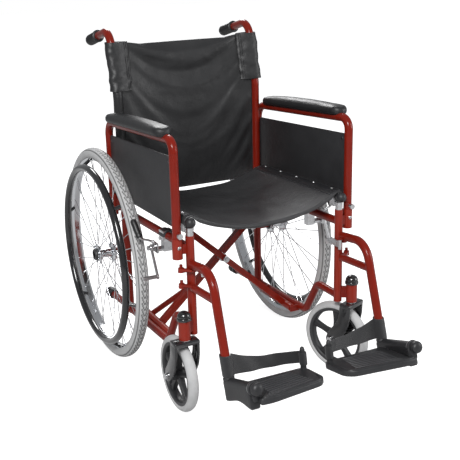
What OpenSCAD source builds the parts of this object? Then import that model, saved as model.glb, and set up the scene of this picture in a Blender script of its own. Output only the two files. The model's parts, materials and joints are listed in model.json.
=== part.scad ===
// Folding wheelchair with spoked self-propelling wheels, lift-out armrests,
// swing-away footrests and a scissor cross frame.
// +Z is up, -Y is the front, +X is the sitter's left. The origin is on the floor,
// under the middle of the chair. Every side part is modelled on the left and mirrored.

/* [Overall] */
// Length from the rear tyre to the front edge of the footplates
overall_l = 1114; // [1100:2:1140]
// Distance between the centres of the two side frames
frame_w = 430; // [420:5:440]
// Height of the front end of the seat rails above the floor
seat_h = 507; // [505:1:509]
// Drop of the seat rails from front to rear
seat_drop = 20; // [16:1:22]

/* [Wheels] */
// Diameter of the rear wheel over the tyre
wheel_d = 608; // [604:2:612]
// Width of the rear tyre
tyre_w = 35; // [33:1:37]
// Distance from the side frame to the middle of the rear wheel
wheel_out = 65; // [64:1:67]
// Radius of the handrim's centre circle
handrim_r = 250; // [244:2:252]
// Diameter of the handrim tube
handrim_d = 20; // [18:1:20]
// Number of spokes in a rear wheel
spoke_count = 36; // [24:4:36]
// Diameter of the caster wheel
caster_d = 200; // [194:2:202]
// Distance the caster wheel trails behind its stem
caster_trail = 46; // [44:1:48]
// Angle the left caster is swivelled to
caster_swivel = 23; // [-30:1:30]

/* [Tubes] */
// Outside diameter of the frame tubing
tube_d = 22; // [21.5:0.1:22]
// Outside diameter of the footrest hanger tubing
hanger_d = 22; // [21.5:0.1:22.5]
// Forward lean of the footrest down tube, in degrees
hanger_lean = 18.4; // [17:0.2:19]

/* [Fold] */
// Distance of the lower cross frame pivot inboard of the side frame
pivot_in = 24; // [23:0.5:26]
// Height of the lower cross frame pivot
pivot_z = 125; // [124:1:127]

/* [Upholstery] */
// Sag of the seat sheet between its rails
seat_sag = 34; // [20:1:38]
// Height of the top edge of the back upholstery
back_top_z = 880; // [860:2:882]

/* [Hidden] */
$fn = 48;
touch = 0.5;      // how far welded members run into each other
run_gap = 0.05;   // radial running clearance of a pin in its bore
clear = 1;        // gap between parts that move past each other
bend_swell = 0.15; // a bend is this much fuller than the straight tube that runs into it

tube_r = tube_d / 2;
rail_r = tube_r - 0.5;  // side rails, a little thinner than the posts they are welded to
frame_x = frame_w / 2;
wheel_r = wheel_d / 2;
axle_y = overall_l / 2 - wheel_r;
axle_r = 6.35;
wheel_x = frame_x + wheel_out;

// side frame
front_y = axle_y - 454;
upper_rail_z = [440, 420];   // at the front post and at the cane
lower_rail_z = 130;
post_bottom_z = 215;
post_top_z = 473;
sbend_rear_y = axle_y - 290;
sbend_front_y = axle_y - 354;
sbend_top_z = 231;
tip_y = axle_y + 178;
tip_z = 111;
stub_r = 10;             // bare rear stub, from the collar behind the cane to the neck under the tip cap
stub_span = [16, 141];
neck_r = 9.5;
collar_r = 12.5;
cap_l = 34;
cane_bend_z = 750;
cane_top = [axle_y + 38, 926];
cane_bend_r = 42;
grip_end = [axle_y + 203, 885];
grip_l = 78;
grip_r = 15.5;

// armrest
arm_front = [frame_x + 31, axle_y - 448];
arm_rear = [frame_x + 23, axle_y + 26];
arm_turn = atan2(arm_front[0] - arm_rear[0], arm_rear[1] - arm_front[1]);
arm_l = norm(arm_rear - arm_front);
arm_top_z = [710, 677];    // at the front leg and at the rear leg
socket_r = 12.9;
socket_front_z = [417, 468];
socket_rear_z = [408, 470];
pad_w = 50;
pad_t = 21;
pad_y = [32, arm_l - 44];   // from the front leg
pad_x = 5;                 // outboard of the tube's plane
panel_t = 3;
panel_top_z = [669, 642];
panel_low_z = [492, 474];
button_r = 5;
button_z = 479;

// caster
caster_x = frame_x + 32;
caster_y = axle_y - 473;
housing_r = 15;
housing_z = [214, 274];
stem_r = 8;
caster_r = caster_d / 2;
caster_wheel_y = caster_y + caster_trail;
fork_half = 34;
fork_arm_t = 7;

// cross frame
pivot_x = frame_x - pivot_in;
rail_x = frame_x + 1;
cross_y = axle_y - 185;
bar_w = 17;
bar_gap = 18;
pivot_r = 5;
pivot_tube_y = [cross_y - 67, cross_y + 107];
rail_y = [axle_y - 463, axle_y - 22];
rail_l = rail_y[1] - rail_y[0];
ball_r = 12.5;
seat_tilt = atan(seat_drop / rail_l);
cross_run = pivot_x + rail_x;
cross_rise = seat_h - (cross_y - rail_y[0]) * seat_drop / rail_l - pivot_z;
centre_z = pivot_z + cross_rise * pivot_x / cross_run;
bar_lean = atan(cross_run / cross_rise);

// brake
brake_y = axle_y - 306;
brake_rail_z = upper_rail_at(brake_y);
brake_pivot = [axle_y - 310, 407];
brake_x = frame_x + 43;
shoe_at = [axle_y - 345, 340];

// footrest
hinge_x = frame_x + 26;
hanger_x = frame_x + 2;
hanger_r = hanger_d / 2;
hanger_bend = [axle_y - 576, 416];
hanger_end_z = 197;
lug_z = [347, 388];
lug_t = 5;
pin_r = 4;
down = [-sin(hanger_lean), -cos(hanger_lean)];   // along the down tube, as [y, z]
bracket_at = [hanger_bend[0] + (hanger_bend[1] - 179) * down[0] / -down[1], 179];
plate_hinge_drop = 10;
bracket_front = 122;
bracket_half = 13;
plate_toe = 9;
plate_t = 15;
plate_top_z = 173;
plate_rear_y = axle_y - 676;
plate_front_y = plate_rear_y
    - (plate_rear_y + overall_l / 2 - plate_t * sin(plate_toe)) / cos(plate_toe);
plate_inner_x = 27;
peg_at = [plate_inner_x + 10, plate_rear_y - 17];
strap_t = 3;
strap_z = [4, 60];
latch_x = frame_x - tube_r - 5.5;
latch_y = front_y - 32;
latch_pin_r = 1.8;

// ---------- helpers ----------

// A round bar between two points
module rod(a, b, r) {
    d = b - a;
    translate(a)
        rotate([0, acos(d[2] / norm(d)), atan2(d[1], d[0])])
            cylinder(h = norm(d), r = r);
}

function turn(a, b, c) =
    let (u = b - a, v = c - b, t = atan2(v[1], v[0]) - atan2(u[1], u[0]))
    t > 180 ? t - 360 : t < -180 ? t + 360 : t;
function unit(v) = v / norm(v);
function upper_rail_at(y) =
    upper_rail_z[0] + (upper_rail_z[1] - upper_rail_z[0]) * (y - front_y) / (axle_y - front_y);
function lower_rail_at(y) =
    lower_rail_z + (tip_z - lower_rail_z) * (y - sbend_rear_y) / (tip_y - sbend_rear_y);

// A bent tube through points [y, z] in the plane at x, with a bend radius at each inner point
module bent_tube(x, points, bends, r) {
    n = len(points);
    turns = [for (i = [0 : n - 1])
        i == 0 || i == n - 1 ? 0 : turn(points[i - 1], points[i], points[i + 1])];
    cut = [for (i = [0 : n - 1])
        turns[i] == 0 ? 0 : bends[i - 1] * tan(abs(turns[i]) / 2)];
    translate([x, 0, 0])
        rotate([90, 0, 90]) {
            for (i = [0 : n - 2]) {
                u = unit(points[i + 1] - points[i]);
                a = points[i] + u * cut[i];
                b = points[i + 1] - u * cut[i + 1];
                rod([a[0], a[1], 0] - (cut[i] > 0 ? 1.5 : 0) * [u[0], u[1], 0],
                    [b[0], b[1], 0] + (cut[i + 1] > 0 ? 1.5 : 0) * [u[0], u[1], 0], r);
            }
            for (i = [1 : n - 2]) {
                u = unit(points[i] - points[i - 1]);
                side = turns[i] > 0 ? 1 : -1;
                centre = points[i] - u * cut[i] + side * bends[i - 1] * [-u[1], u[0]];
                start = atan2(u[1], u[0]) - side * 90;
                translate([centre[0], centre[1], 0])
                    rotate([0, 0, side > 0 ? start : start - abs(turns[i])])
                        rotate_extrude(angle = abs(turns[i]))
                            translate([bends[i - 1], 0])
                                circle(r = r + bend_swell);
            }
        }
}

// A block given by its lowest and highest corners
module block(low, high) {
    translate(low)
        cube(high - low);
}

// A cylinder along X from x0 to x1 at [y, z]
module along_x(x0, x1, at, r) {
    translate([x0, at[0], at[1]])
        rotate([0, 90, 0])
            cylinder(h = x1 - x0, r = r);
}

// A cylinder along Y from y0 to y1 at [x, z]
module along_y(y0, y1, at, r) {
    translate([at[0], y0, at[1]])
        rotate([-90, 0, 0])
            cylinder(h = y1 - y0, r = r);
}

// A profile [radius, height along X] turned about the X axis through [y, z]
module turned_x(at, profile) {
    translate([0, at[0], at[1]])
        rotate([0, 90, 0])
            rotate_extrude($fn = 96)
                polygon(profile);
}

// Swivels the left caster about its stem
module swivelled() {
    translate([caster_x, caster_y, 0])
        rotate([0, 0, caster_swivel])
            translate([-caster_x, -caster_y, 0])
                children();
}

// Mirrors a left-hand part to the right of the chair
module on_right() {
    mirror([1, 0, 0])
        children();
}

// ---------- side frame ----------

module side_frame() {
    color("firebrick")
        difference() {
            union() {
                bent_tube(frame_x, [[axle_y, lower_rail_at(axle_y) - 1], [axle_y, cane_bend_z],
                    cane_top, grip_end], [80, cane_bend_r], tube_r);
                rod([frame_x, front_y, post_bottom_z], [frame_x, front_y, post_top_z], tube_r);
                rod([frame_x, front_y, upper_rail_z[0]], [frame_x, axle_y, upper_rail_z[1]], rail_r);
                bent_tube(frame_x, [[axle_y, lower_rail_at(axle_y)], [sbend_rear_y, lower_rail_z],
                    [sbend_front_y, sbend_top_z], [front_y, sbend_top_z]], [30, 34], rail_r);
                tip_stub();
                caster_housing();
                armrest_sockets();
                axle_boss();
                pivot_lugs();
                hanger_lugs();
            }
            translate([caster_x, caster_y, housing_z[0] - 1])
                cylinder(h = housing_z[1] - housing_z[0] + 2, r = stem_r + run_gap);
            for (at = [[arm_front, socket_front_z], [arm_rear, socket_rear_z]])
                translate([at[0][0], at[0][1], at[1][0] - 1])
                    cylinder(h = at[1][1] - at[1][0] + 2, r = tube_r + run_gap);
            along_x(frame_x - tube_r - 2, frame_x + 40, [axle_y, wheel_r], axle_r);
        }
}

// Bare stub behind the cane that an anti-tipper clamps to, with a thinner neck for the tip cap
module tip_stub() {
    from = [frame_x, axle_y, lower_rail_at(axle_y)];
    to = [frame_x, tip_y, tip_z];
    u = unit(to - from);
    rod(from - (stub_span[0] - 1) * u, from + stub_span[0] * u, collar_r);
    rod(from, from + stub_span[1] * u, stub_r);
    rod(from, to, neck_r);
}

module caster_housing() {
    translate([caster_x, caster_y, housing_z[0]])
        cylinder(h = housing_z[1] - housing_z[0], r = housing_r);
    translate([frame_x, front_y, housing_z[0] + 12])
        rotate([0, 0, atan2(caster_y - front_y, caster_x - frame_x)])
            translate([0, -6, 0])
                cube([28, 12, 30]);
}

module armrest_sockets() {
    web_w = 10;
    for (at = [[arm_front, [frame_x, front_y], socket_front_z],
            [arm_rear, [frame_x, axle_y], socket_rear_z]]) {
        reach = at[0] - at[1];
        translate([at[0][0], at[0][1], at[2][0]])
            cylinder(h = at[2][1] - at[2][0], r = socket_r);
        translate([at[1][0], at[1][1], at[2][0] + 12])
            rotate([0, 0, atan2(reach[1], reach[0])])
                translate([tube_r - 3, -web_w / 2, 0])
                    cube([norm(reach) - 2 * tube_r + 1.8, web_w, at[2][1] - at[2][0] - 26]);
    }
}

module axle_boss() {
    along_x(frame_x, frame_x + 35, [axle_y, wheel_r], 10.5);
}

// Two ears and a rod on the lower rail that carry the cross frame's pivot tube
module pivot_lugs() {
    lug_l = 5;
    for (y = [pivot_tube_y[0] - clear - lug_l, pivot_tube_y[1] + clear])
        block([pivot_x - 8, y, pivot_z - 9], [frame_x, y + lug_l, pivot_z + 9]);
    along_y(pivot_tube_y[0] - clear - 1, pivot_tube_y[1] + clear + 1, [pivot_x, pivot_z], pivot_r);
}

// Two ears with upright pins on the outside of the front post
module hanger_lugs() {
    for (z = lug_z) {
        block([frame_x + tube_r - 3, front_y - 7, z - lug_t], [hinge_x, front_y + 7, z]);
        translate([hinge_x, front_y, z - lug_t])
            cylinder(h = lug_t, r = 8);
        translate([hinge_x, front_y, z - touch])
            cylinder(h = 15, r = pin_r);
    }
}

module grip() {
    flange_t = 4;
    axis = unit(grip_end - cane_top);
    start = grip_end - axis * (grip_l - 5);
    color("dimgray")
        translate([frame_x, start[0], start[1]])
            rotate([-90 + atan2(axis[1], axis[0]), 0, 0])
                difference() {
                    union() {
                        cylinder(h = grip_l, r = grip_r);
                        cylinder(h = flange_t, r = grip_r + 2);
                    }
                    translate([0, 0, -1])
                        cylinder(h = grip_l - 3.5, r = tube_r + run_gap);
                }
}

module tip_cap() {
    axis = unit([tip_y, tip_z] - [sbend_rear_y, lower_rail_z]);
    color("dimgray")
        translate([frame_x, tip_y - cap_l * axis[0], tip_z - cap_l * axis[1]])
            rotate([-90 + atan2(axis[1], axis[0]), 0, 0])
                difference() {
                    cylinder(h = cap_l + 6, r = 15);
                    translate([0, 0, -1])
                        cylinder(h = cap_l + 1.5, r = neck_r + run_gap);
                }
}

module axle() {
    color("silver")
        translate([0, axle_y, wheel_r])
            rotate([0, 90, 0]) {
                translate([0, 0, frame_x - tube_r - 9])
                    cylinder(h = wheel_out + 51, r = axle_r);
                translate([0, 0, frame_x - tube_r - 8])
                    cylinder(h = 8, r = 10.5, $fn = 6);
                translate([0, 0, frame_x + 35])
                    cylinder(h = 1.6, r = 10);
                translate([0, 0, wheel_x + 29])
                    cylinder(h = 5, r = 9);
            }
}

// Silver cradle that the seat rail drops into, open at the top
module rail_saddle() {
    cradle_r = tube_r + clear;
    cradle_y = [front_y + 4, front_y + 24];
    color("silver")
        difference() {
            union() {
                translate([frame_x, front_y, post_top_z])
                    cylinder(h = 20, r = 9.5);
                block([rail_x - 15, cradle_y[0], post_top_z + 9],
                    [rail_x + 13, cradle_y[1], seat_h - 2]);
            }
            on_seat_rail()
                along_y(-30, cradle_y[1] + 10 - rail_y[0], [rail_x, 0], cradle_r);
            translate([frame_x, front_y, 0])
                cylinder(h = post_top_z, r = 20);
        }
}

// Moves its children to the front end of the seat rails' centre plane, with Y along the rails
module on_seat_rail() {
    translate([0, rail_y[0], seat_h])
        rotate([-seat_tilt, 0, 0])
            children();
}

module caster_cap() {
    skirt = 10;
    color("dimgray")
        translate([caster_x, caster_y, housing_z[1]])
            difference() {
                union() {
                    translate([0, 0, -skirt])
                        cylinder(h = skirt + 2, r = 18);
                    intersection() {
                        cylinder(h = 14, r = 14);
                        translate([0, 0, -2])
                            sphere(r = 16);
                    }
                }
                translate([0, 0, -skirt - 1])
                    cylinder(h = skirt + 1, r = housing_r);
            }
}

// ---------- brake ----------

// Clamp on the upper rail with an outboard plate that carries both brake pivots
module brake_clamp() {
    half = 15;
    color("silver")
        difference() {
            union() {
                on_upper_rail()
                    block([frame_x - 14, -half, -14], [frame_x + 14, half, 14]);
                block([frame_x - 10, brake_y - 10, 392],
                    [frame_x + 12, brake_y + 10, brake_rail_z - 12]);
                block([frame_x + 11, brake_y - 12, 396],
                    [brake_x - 8, brake_y + 12, 402]);
                block([brake_x - 12, brake_pivot[0] - 16, 394],
                    [brake_x - 8, brake_pivot[0] + 16, 420]);
                along_x(brake_x - 9, brake_x + 9, brake_pivot, pin_r);
            }
            on_upper_rail()
                along_y(-half - 1, half + 1, [frame_x, 0], rail_r + run_gap);
        }
}

// Moves its children to the upper rail under the brake clamp, with Y along the rail
module on_upper_rail() {
    translate([0, brake_y, brake_rail_z])
        rotate([atan2(upper_rail_z[1] - upper_rail_z[0], axle_y - front_y), 0, 0])
            children();
}

module brake_lever() {
    grip_base = [brake_x + 30, axle_y - 305, 437];
    grip_tip = [brake_x + 34, axle_y - 275, 474];
    color("silver") {
        difference() {
            union() {
                along_x(brake_x - 7, brake_x - 3.5, brake_pivot, 10);
                block([brake_x - 7, brake_pivot[0] - 6, brake_pivot[1]],
                    [brake_x - 3.5, brake_pivot[0] + 6, brake_pivot[1] + 17]);
                rod([brake_x - 6, brake_pivot[0], brake_pivot[1] + 15], grip_base, 3);
                rod(grip_base, grip_tip, 3);
            }
            along_x(brake_x - 12, brake_x + 12, brake_pivot, pin_r + run_gap);
        }
    }
    color("dimgray")
        rod(grip_base, grip_tip + 4 * unit(grip_tip - grip_base), 8);
}

module brake_shoe() {
    color("silver")
        difference() {
            union() {
                along_x(brake_x, brake_x + 4, brake_pivot, 9);
                along_x(brake_x, brake_x + 4, shoe_at, 7);
                rod([brake_x + 2, brake_pivot[0], brake_pivot[1]],
                    [brake_x + 2, shoe_at[0], shoe_at[1]], 1.9);
                translate([brake_x, shoe_at[0], shoe_at[1]])
                    rotate([atan2(brake_pivot[0] - shoe_at[0], -(brake_pivot[1] - shoe_at[1])) + 180, 0, 0])
                        block([0, -5, 0], [4, 5, norm(brake_pivot - shoe_at)]);
                along_x(brake_x, wheel_x + tyre_w / 2 + 2, shoe_at, 5);
            }
            along_x(brake_x - 12, brake_x + 12, brake_pivot, pin_r + run_gap);
        }
}

// ---------- armrest ----------

// Moves its children to the front leg, with Y towards the rear leg
module on_arm() {
    translate([arm_front[0], arm_front[1], 0])
        rotate([0, 0, arm_turn])
            children();
}

module armrest_frame() {
    leg_z = [socket_front_z[0] + 14, socket_rear_z[0] + 6];
    color("firebrick")
        on_arm()
            difference() {
                bent_tube(0, [[0, leg_z[0]], [0, arm_top_z[0]], [arm_l, arm_top_z[1]], [arm_l, leg_z[1]]],
                    [28, 42], tube_r);
                along_y(-20, 4, [0, button_z], button_r + run_gap);
            }
}

// Pad with round ends that lies along the sloping top tube
module arm_pad() {
    taper = 6;
    fall = atan2(arm_top_z[0] - arm_top_z[1], arm_l);
    length = (pad_y[1] - pad_y[0]) / cos(fall);
    end_r = pad_w / 2;
    color("dimgray")
        on_arm()
            translate([pad_x, pad_y[0], arm_top_z[0] - pad_y[0] * tan(fall)])
                rotate([-fall, 0, 0])
                    translate([0, 0, tube_r + 0.2]) {
                        block([-end_r, end_r, 0], [end_r, length - end_r, pad_t - taper]);
                        block([-end_r + taper, end_r, 1], [end_r - taper, length - end_r, pad_t]);
                        for (y = [end_r, length - end_r])
                            translate([0, y, 0]) {
                                cylinder(h = pad_t - taper, r = end_r);
                                cylinder(h = pad_t, r = end_r - taper);
                            }
                    }
}

// Flat clothes guard between the armrest's legs
module side_panel() {
    ends = [tube_r + 0.2, arm_l - tube_r - 0.2];
    color("dimgray")
        on_arm()
            translate([-panel_t / 2, 0, 0])
                rotate([90, 0, 90])
                    linear_extrude(panel_t)
                        polygon([[ends[0], panel_low_z[0]], [ends[1], panel_low_z[1]],
                            [ends[1], panel_top_z[1] - 14], [ends[1] - 3, panel_top_z[1]],
                            [ends[0], panel_top_z[0]]]);
}

module arm_button() {
    color("silver")
        on_arm() {
            along_y(-22, -4, [0, button_z], button_r);
            along_y(-24, -18, [0, button_z], button_r + 2);
        }
}

// ---------- rear wheel ----------

hub_half = 22;        // hub flanges, from the wheel's middle plane
flange_r = 27;
spoke_r = 1.1;
rim_r = [268, 284];
rim_half = 13;

module hub() {
    color("silver")
        turned_x([axle_y, wheel_r], [
            [axle_r + run_gap, wheel_x - hub_half - 4], [16, wheel_x - hub_half - 4],
            [16, wheel_x - hub_half - 1.5], [flange_r, wheel_x - hub_half - 1.5],
            [flange_r, wheel_x - hub_half + 1.5], [13, wheel_x - hub_half + 4],
            [13, wheel_x + hub_half - 4], [flange_r, wheel_x + hub_half - 1.5],
            [flange_r, wheel_x + hub_half + 1.5], [17, wheel_x + hub_half + 1.5],
            [17, wheel_x + hub_half + 6], [axle_r + run_gap, wheel_x + hub_half + 6]]);
}

// Crossed spokes, alternately from the inner and outer flange
module spokes() {
    step = 360 / spoke_count;
    sweep = 3 * step;
    color("silver")
        for (i = [0 : spoke_count - 1]) {
            flange = i % 2 == 0 ? 1 : -1;
            lean = floor(i / 2) % 2 == 0 ? 1 : -1;
            lead = lean * sweep;
            a = i * step;
            inner = flange_r - 4;
            outer = rim_r[0] + 3;
            rod([wheel_x + flange * hub_half + 2.4 * lean,
                    axle_y + inner * cos(a + lead), wheel_r + inner * sin(a + lead)],
                [wheel_x + flange * 3 + 1.3 * lean,
                    axle_y + outer * cos(a), wheel_r + outer * sin(a)], spoke_r);
        }
}

module rim() {
    lip = 3;
    color("silver")
        turned_x([axle_y, wheel_r], [
            [rim_r[0], wheel_x - 7], [rim_r[0], wheel_x + 7], [rim_r[0] + 7, wheel_x + rim_half],
            [rim_r[1], wheel_x + rim_half], [rim_r[1], wheel_x + rim_half - lip],
            [rim_r[0] + 9, wheel_x + rim_half - lip], [rim_r[0] + 4, wheel_x + 4],
            [rim_r[0] + 4, wheel_x - 4], [rim_r[0] + 9, wheel_x - rim_half + lip],
            [rim_r[1], wheel_x - rim_half + lip], [rim_r[1], wheel_x - rim_half],
            [rim_r[0] + 7, wheel_x - rim_half]]);
}

module tyre() {
    body_r = tyre_w / 2;
    color("lightgray")
        translate([wheel_x, axle_y, wheel_r])
            rotate([0, 90, 0])
                rotate_extrude($fn = 96)
                    difference() {
                        translate([wheel_r - body_r, 0])
                            circle(r = body_r);
                        translate([0, -body_r - 1])
                            square([rim_r[1], tyre_w + 2]);
                    }
}

module handrim() {
    ring_x = wheel_x + 34;
    mounts = 6;
    color("dimgray")
        union() {
            translate([ring_x, axle_y, wheel_r])
                rotate([0, 90, 0])
                    rotate_extrude($fn = 96)
                        translate([handrim_r, 0])
                            circle(d = handrim_d);
            for (i = [0 : mounts - 1]) {
                a = i * 360 / mounts + 15;
                rod([ring_x, axle_y + handrim_r * cos(a), wheel_r + handrim_r * sin(a)],
                    [wheel_x + 8, axle_y + (rim_r[0] + 0.4) * cos(a), wheel_r + (rim_r[0] + 0.4) * sin(a)], 5);
            }
        }
}

// ---------- caster ----------

module caster_fork() {
    crown_z = [200, housing_z[0] - 2];
    arm = [[caster_y - 17, crown_z[1]], [caster_y + 17, crown_z[1]], [caster_y + 24, 168],
        [caster_wheel_y + 12, caster_r + 8], [caster_wheel_y - 8, caster_r - 12],
        [caster_y - 10, 160]];
    color("dimgray")
        difference() {
            union() {
                block([caster_x - fork_half, caster_y - 17, crown_z[0]],
                    [caster_x + fork_half, caster_y + 17, crown_z[1]]);
                for (x = [caster_x - fork_half, caster_x + fork_half - fork_arm_t]) {
                    translate([x, 0, 0])
                        rotate([90, 0, 90])
                            linear_extrude(fork_arm_t)
                                polygon(arm);
                    along_x(x, x + fork_arm_t, [caster_wheel_y, caster_r], 14);
                }
                translate([caster_x, caster_y, crown_z[1] - touch])
                    cylinder(h = housing_z[1] - 3 - crown_z[1], r = stem_r);
                translate([caster_x, caster_y, crown_z[1] - touch])
                    cylinder(h = 1.5 + touch, r = 14);
            }
            along_x(caster_x - 50, caster_x + 50, [caster_wheel_y, caster_r], pin_r);
        }
}

module caster_axle() {
    color("silver") {
        along_x(caster_x - fork_half - 5, caster_x + fork_half + 5, [caster_wheel_y, caster_r], pin_r);
        for (x = [caster_x - fork_half - 5, caster_x + fork_half])
            along_x(x, x + 5, [caster_wheel_y, caster_r], 7.5);
    }
}

module caster_hub() {
    spokes = 5;
    half = 12;
    color("dimgray")
        difference() {
            union() {
                turned_x([caster_wheel_y, caster_r], [[74, caster_x - half], [83, caster_x - half],
                    [83, caster_x + half], [74, caster_x + half]]);
                along_x(caster_x - 25, caster_x + 25, [caster_wheel_y, caster_r], 13);
                for (i = [0 : spokes - 1])
                    translate([caster_x, caster_wheel_y, caster_r])
                        rotate([i * 360 / spokes, 0, 0])
                            translate([-6.5, -7, 11])
                                cube([13, 14, 66]);
            }
            along_x(caster_x - 30, caster_x + 30, [caster_wheel_y, caster_r], pin_r + run_gap);
        }
}

module caster_tyre() {
    half = 14;
    shoulder = 6;
    color("lightgray")
        turned_x([caster_wheel_y, caster_r], [[83, caster_x - half], [caster_r - shoulder, caster_x - half],
            [caster_r - 1, caster_x - half + shoulder], [caster_r, caster_x],
            [caster_r - 1, caster_x + half - shoulder], [caster_r - shoulder, caster_x + half],
            [83, caster_x + half]]);
}

// ---------- footrest ----------

// Moves its children to the down tube: their Y runs forward and up along the bracket,
// turned so that Z runs up the down tube's axis, with the origin at the bracket's top
module at_bracket() {
    translate([hanger_x, bracket_at[0], bracket_at[1]])
        rotate([-hanger_lean, 0, 0])
            mirror([0, 1, 0])
                children();
}

module hanger() {
    tube_top_z = 403;
    brace_z = 343;
    end_y = hanger_bend[0] + (hanger_bend[1] - hanger_end_z) * down[0] / -down[1];
    start_y = front_y - tube_r - 4;
    color("firebrick")
        difference() {
            union() {
                bent_tube(hanger_x, [[start_y, tube_top_z], hanger_bend, [end_y, hanger_end_z]],
                    [55], hanger_r);
                rod([hanger_x, start_y, brace_z],
                    [hanger_x, hanger_bend[0] - 20, brace_z + 9], hanger_r - 1.5);
                hook(lug_z[0], brace_z);
                hook(lug_z[1], tube_top_z);
                latch_lug();
            }
            for (z = lug_z)
                translate([hinge_x, front_y, z - 10])
                    cylinder(h = 60, r = pin_r + run_gap);
            at_bracket()
                translate([0, 0, -10])
                    cylinder(h = 130, r = hanger_r - 3 + run_gap);
        }
}

// Flat eye that drops over an upright pin of the front post
module hook(z, tube_z) {
    eye_t = 6;
    start_y = front_y - tube_r - 4;
    translate([hinge_x, front_y, z])
        cylinder(h = eye_t, r = 7.5);
    translate([hinge_x, front_y, z])
        rotate([0, 0, atan2(start_y - 8 - front_y, hanger_x - hinge_x)])
            translate([0, -1, 0])
                cube([30, 8, eye_t]);
    block([hanger_x - 5, start_y - 14, min(z, tube_z)],
        [hanger_x + 5, start_y - 1, max(z + eye_t, tube_z)]);
}

// Ear and upright pin on the inside of the hanger that the latch turns on
module latch_lug() {
    block([latch_x - 4, latch_y - 5, 400.5], [hanger_x - hanger_r + 2, latch_y + 5, 405]);
    translate([latch_x, latch_y, 373])
        cylinder(h = 29, r = latch_pin_r);
}

module hanger_latch() {
    x = latch_x - 1.5;
    color("silver")
        difference() {
            union() {
                block([x, latch_y - 2, 378], [x + 3, front_y + 12, 396]);
                block([x - 14, front_y + 9, 380], [x + 1, front_y + 12, 394]);
                translate([latch_x, latch_y, 374])
                    cylinder(h = 26, r = 4);
            }
            translate([latch_x, latch_y, 370])
                cylinder(h = 40, r = latch_pin_r + run_gap);
        }
}

// Slides in the down tube and carries the footplate on a long hinge pin with a knob
module footrest_bracket() {
    low = -58;
    rear = -11;
    hinge = [0, -plate_hinge_drop];
    at_bracket() {
        color("dimgray") {
            block([-bracket_half + 1, rear + 1, low], [bracket_half - 1, bracket_front - 1, hinge[1]]);
            along_y(rear, bracket_front, hinge, bracket_half);
            translate([0, 0, hinge[1] - 5])
                cylinder(h = 127, r = hanger_r - 3);
        }
        color("gray") {
            along_y(bracket_front - 4, bracket_front + 16, hinge, pin_r);
            along_y(bracket_front + 10, bracket_front + 22, hinge, 15);
        }
    }
}

// Moves its children to the footplate's underside, tilted with its toe
module on_plate() {
    translate([0, plate_rear_y, plate_top_z])
        rotate([-plate_toe, 0, 0])
            translate([0, -plate_rear_y, -plate_t])
                children();
}

module footplate() {
    ear_r = 17;
    peg_r = 6;
    color("dimgray")
        difference() {
            union() {
                on_plate() {
                    linear_extrude(plate_t)
                        polygon(plate_outline());
                    for (i = [0 : 7])
                        plate_rib(i);
                    translate([peg_at[0], peg_at[1], plate_t - 1])
                        cylinder(h = 58, r = peg_r);
                }
                at_bracket() {
                    along_y(bracket_front + clear, bracket_front + 9, [0, -plate_hinge_drop], ear_r);
                    block([-ear_r, bracket_front + clear, -40],
                        [8, bracket_front + 9, -plate_hinge_drop]);
                }
            }
            at_bracket()
                along_y(-60, bracket_front + 60, [0, -plate_hinge_drop], pin_r + run_gap);
        }
}

function plate_outline() =
    let (outer = hanger_x - bracket_half - 2, f = plate_front_y, r = plate_rear_y)
    [[outer + 8, f], [outer - 20, f], [plate_inner_x + 16, f + 24], [plate_inner_x, f + 44],
        [plate_inner_x - 2, r - 10], [plate_inner_x + 8, r - 2], [outer, r],
        [outer, f + 16], [outer + 8, f + 16]];

module plate_rib(i) {
    y = plate_rear_y - 28 - i * 12;
    block([plate_inner_x + 30, y - 2, plate_t - touch], [hanger_x - 40, y + 2, plate_t + 1.5]);
}

module heel_loop() {
    ring = hanger_r + 1 + strap_t;
    low = bracket_at[1] - 1;
    strap_w = 50;
    peg_ring = [9, 11.5];
    peg_gap = 4;
    color("dimgray")
        difference() {
            union() {
                at_bracket()
                    translate([0, 0, strap_z[0]])
                        cylinder(h = strap_z[1] - strap_z[0], r = ring);
                block_between([hanger_x - ring + strap_t + 1, bracket_at[0] + 8],
                    [peg_at[0] + 9.6, peg_at[1] - 3], strap_t - 0.6, [low + 1, low + strap_w - 3]);
                on_plate()
                    translate([peg_at[0], peg_at[1], plate_t + peg_gap])
                        cylinder(h = strap_w, r = peg_ring[1]);
            }
            at_bracket()
                translate([0, 0, -20])
                    cylinder(h = 120, r = hanger_r + 1);
            on_plate()
                translate([peg_at[0], peg_at[1], 0])
                    cylinder(h = 100, r = peg_ring[0]);
        }
}

// An upright slab of the given thickness between two points on the floor plan
module block_between(a, b, thick, z) {
    translate([a[0], a[1], z[0]])
        rotate([0, 0, atan2(b[1] - a[1], b[0] - a[0])])
            translate([0, -thick / 2, 0])
                cube([norm(b - a), thick, z[1] - z[0]]);
}

// ---------- cross frame ----------

// One bar of the X: pivot tube at the low end, seat rail at the high end.
// Modelled with its pivot on the left; y_shift sets it beside the other bar.
module crossbar(y_shift, bolt_r) {
    y = cross_y + y_shift;
    length = norm([cross_run, cross_rise]);
    color("firebrick")
        difference() {
            union() {
                along_y(pivot_tube_y[0], pivot_tube_y[1], [pivot_x, pivot_z], tube_r);
                on_seat_rail()
                    along_y(0, rail_l / cos(seat_tilt), [-rail_x, 0], tube_r);
                translate([pivot_x, y, pivot_z])
                    rotate([0, -bar_lean, 0])
                        translate([-bar_w / 2, -bar_w / 2, 8])
                            cube([bar_w, bar_w, length - 14]);
                rod([pivot_x - 4, pivot_tube_y[1] - 12, pivot_z],
                    [pivot_x * 0.42, y, pivot_z + (centre_z - pivot_z) * 0.58], 8);
            }
            along_y(pivot_tube_y[0] - 1, pivot_tube_y[1] + 1, [pivot_x, pivot_z], pivot_r + run_gap);
            along_y(y - bar_w, y + bar_w, [0, centre_z], bolt_r);
        }
    color("dimgray")
        translate([-rail_x, rail_y[0], seat_h])
            sphere(r = ball_r);
}

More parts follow.
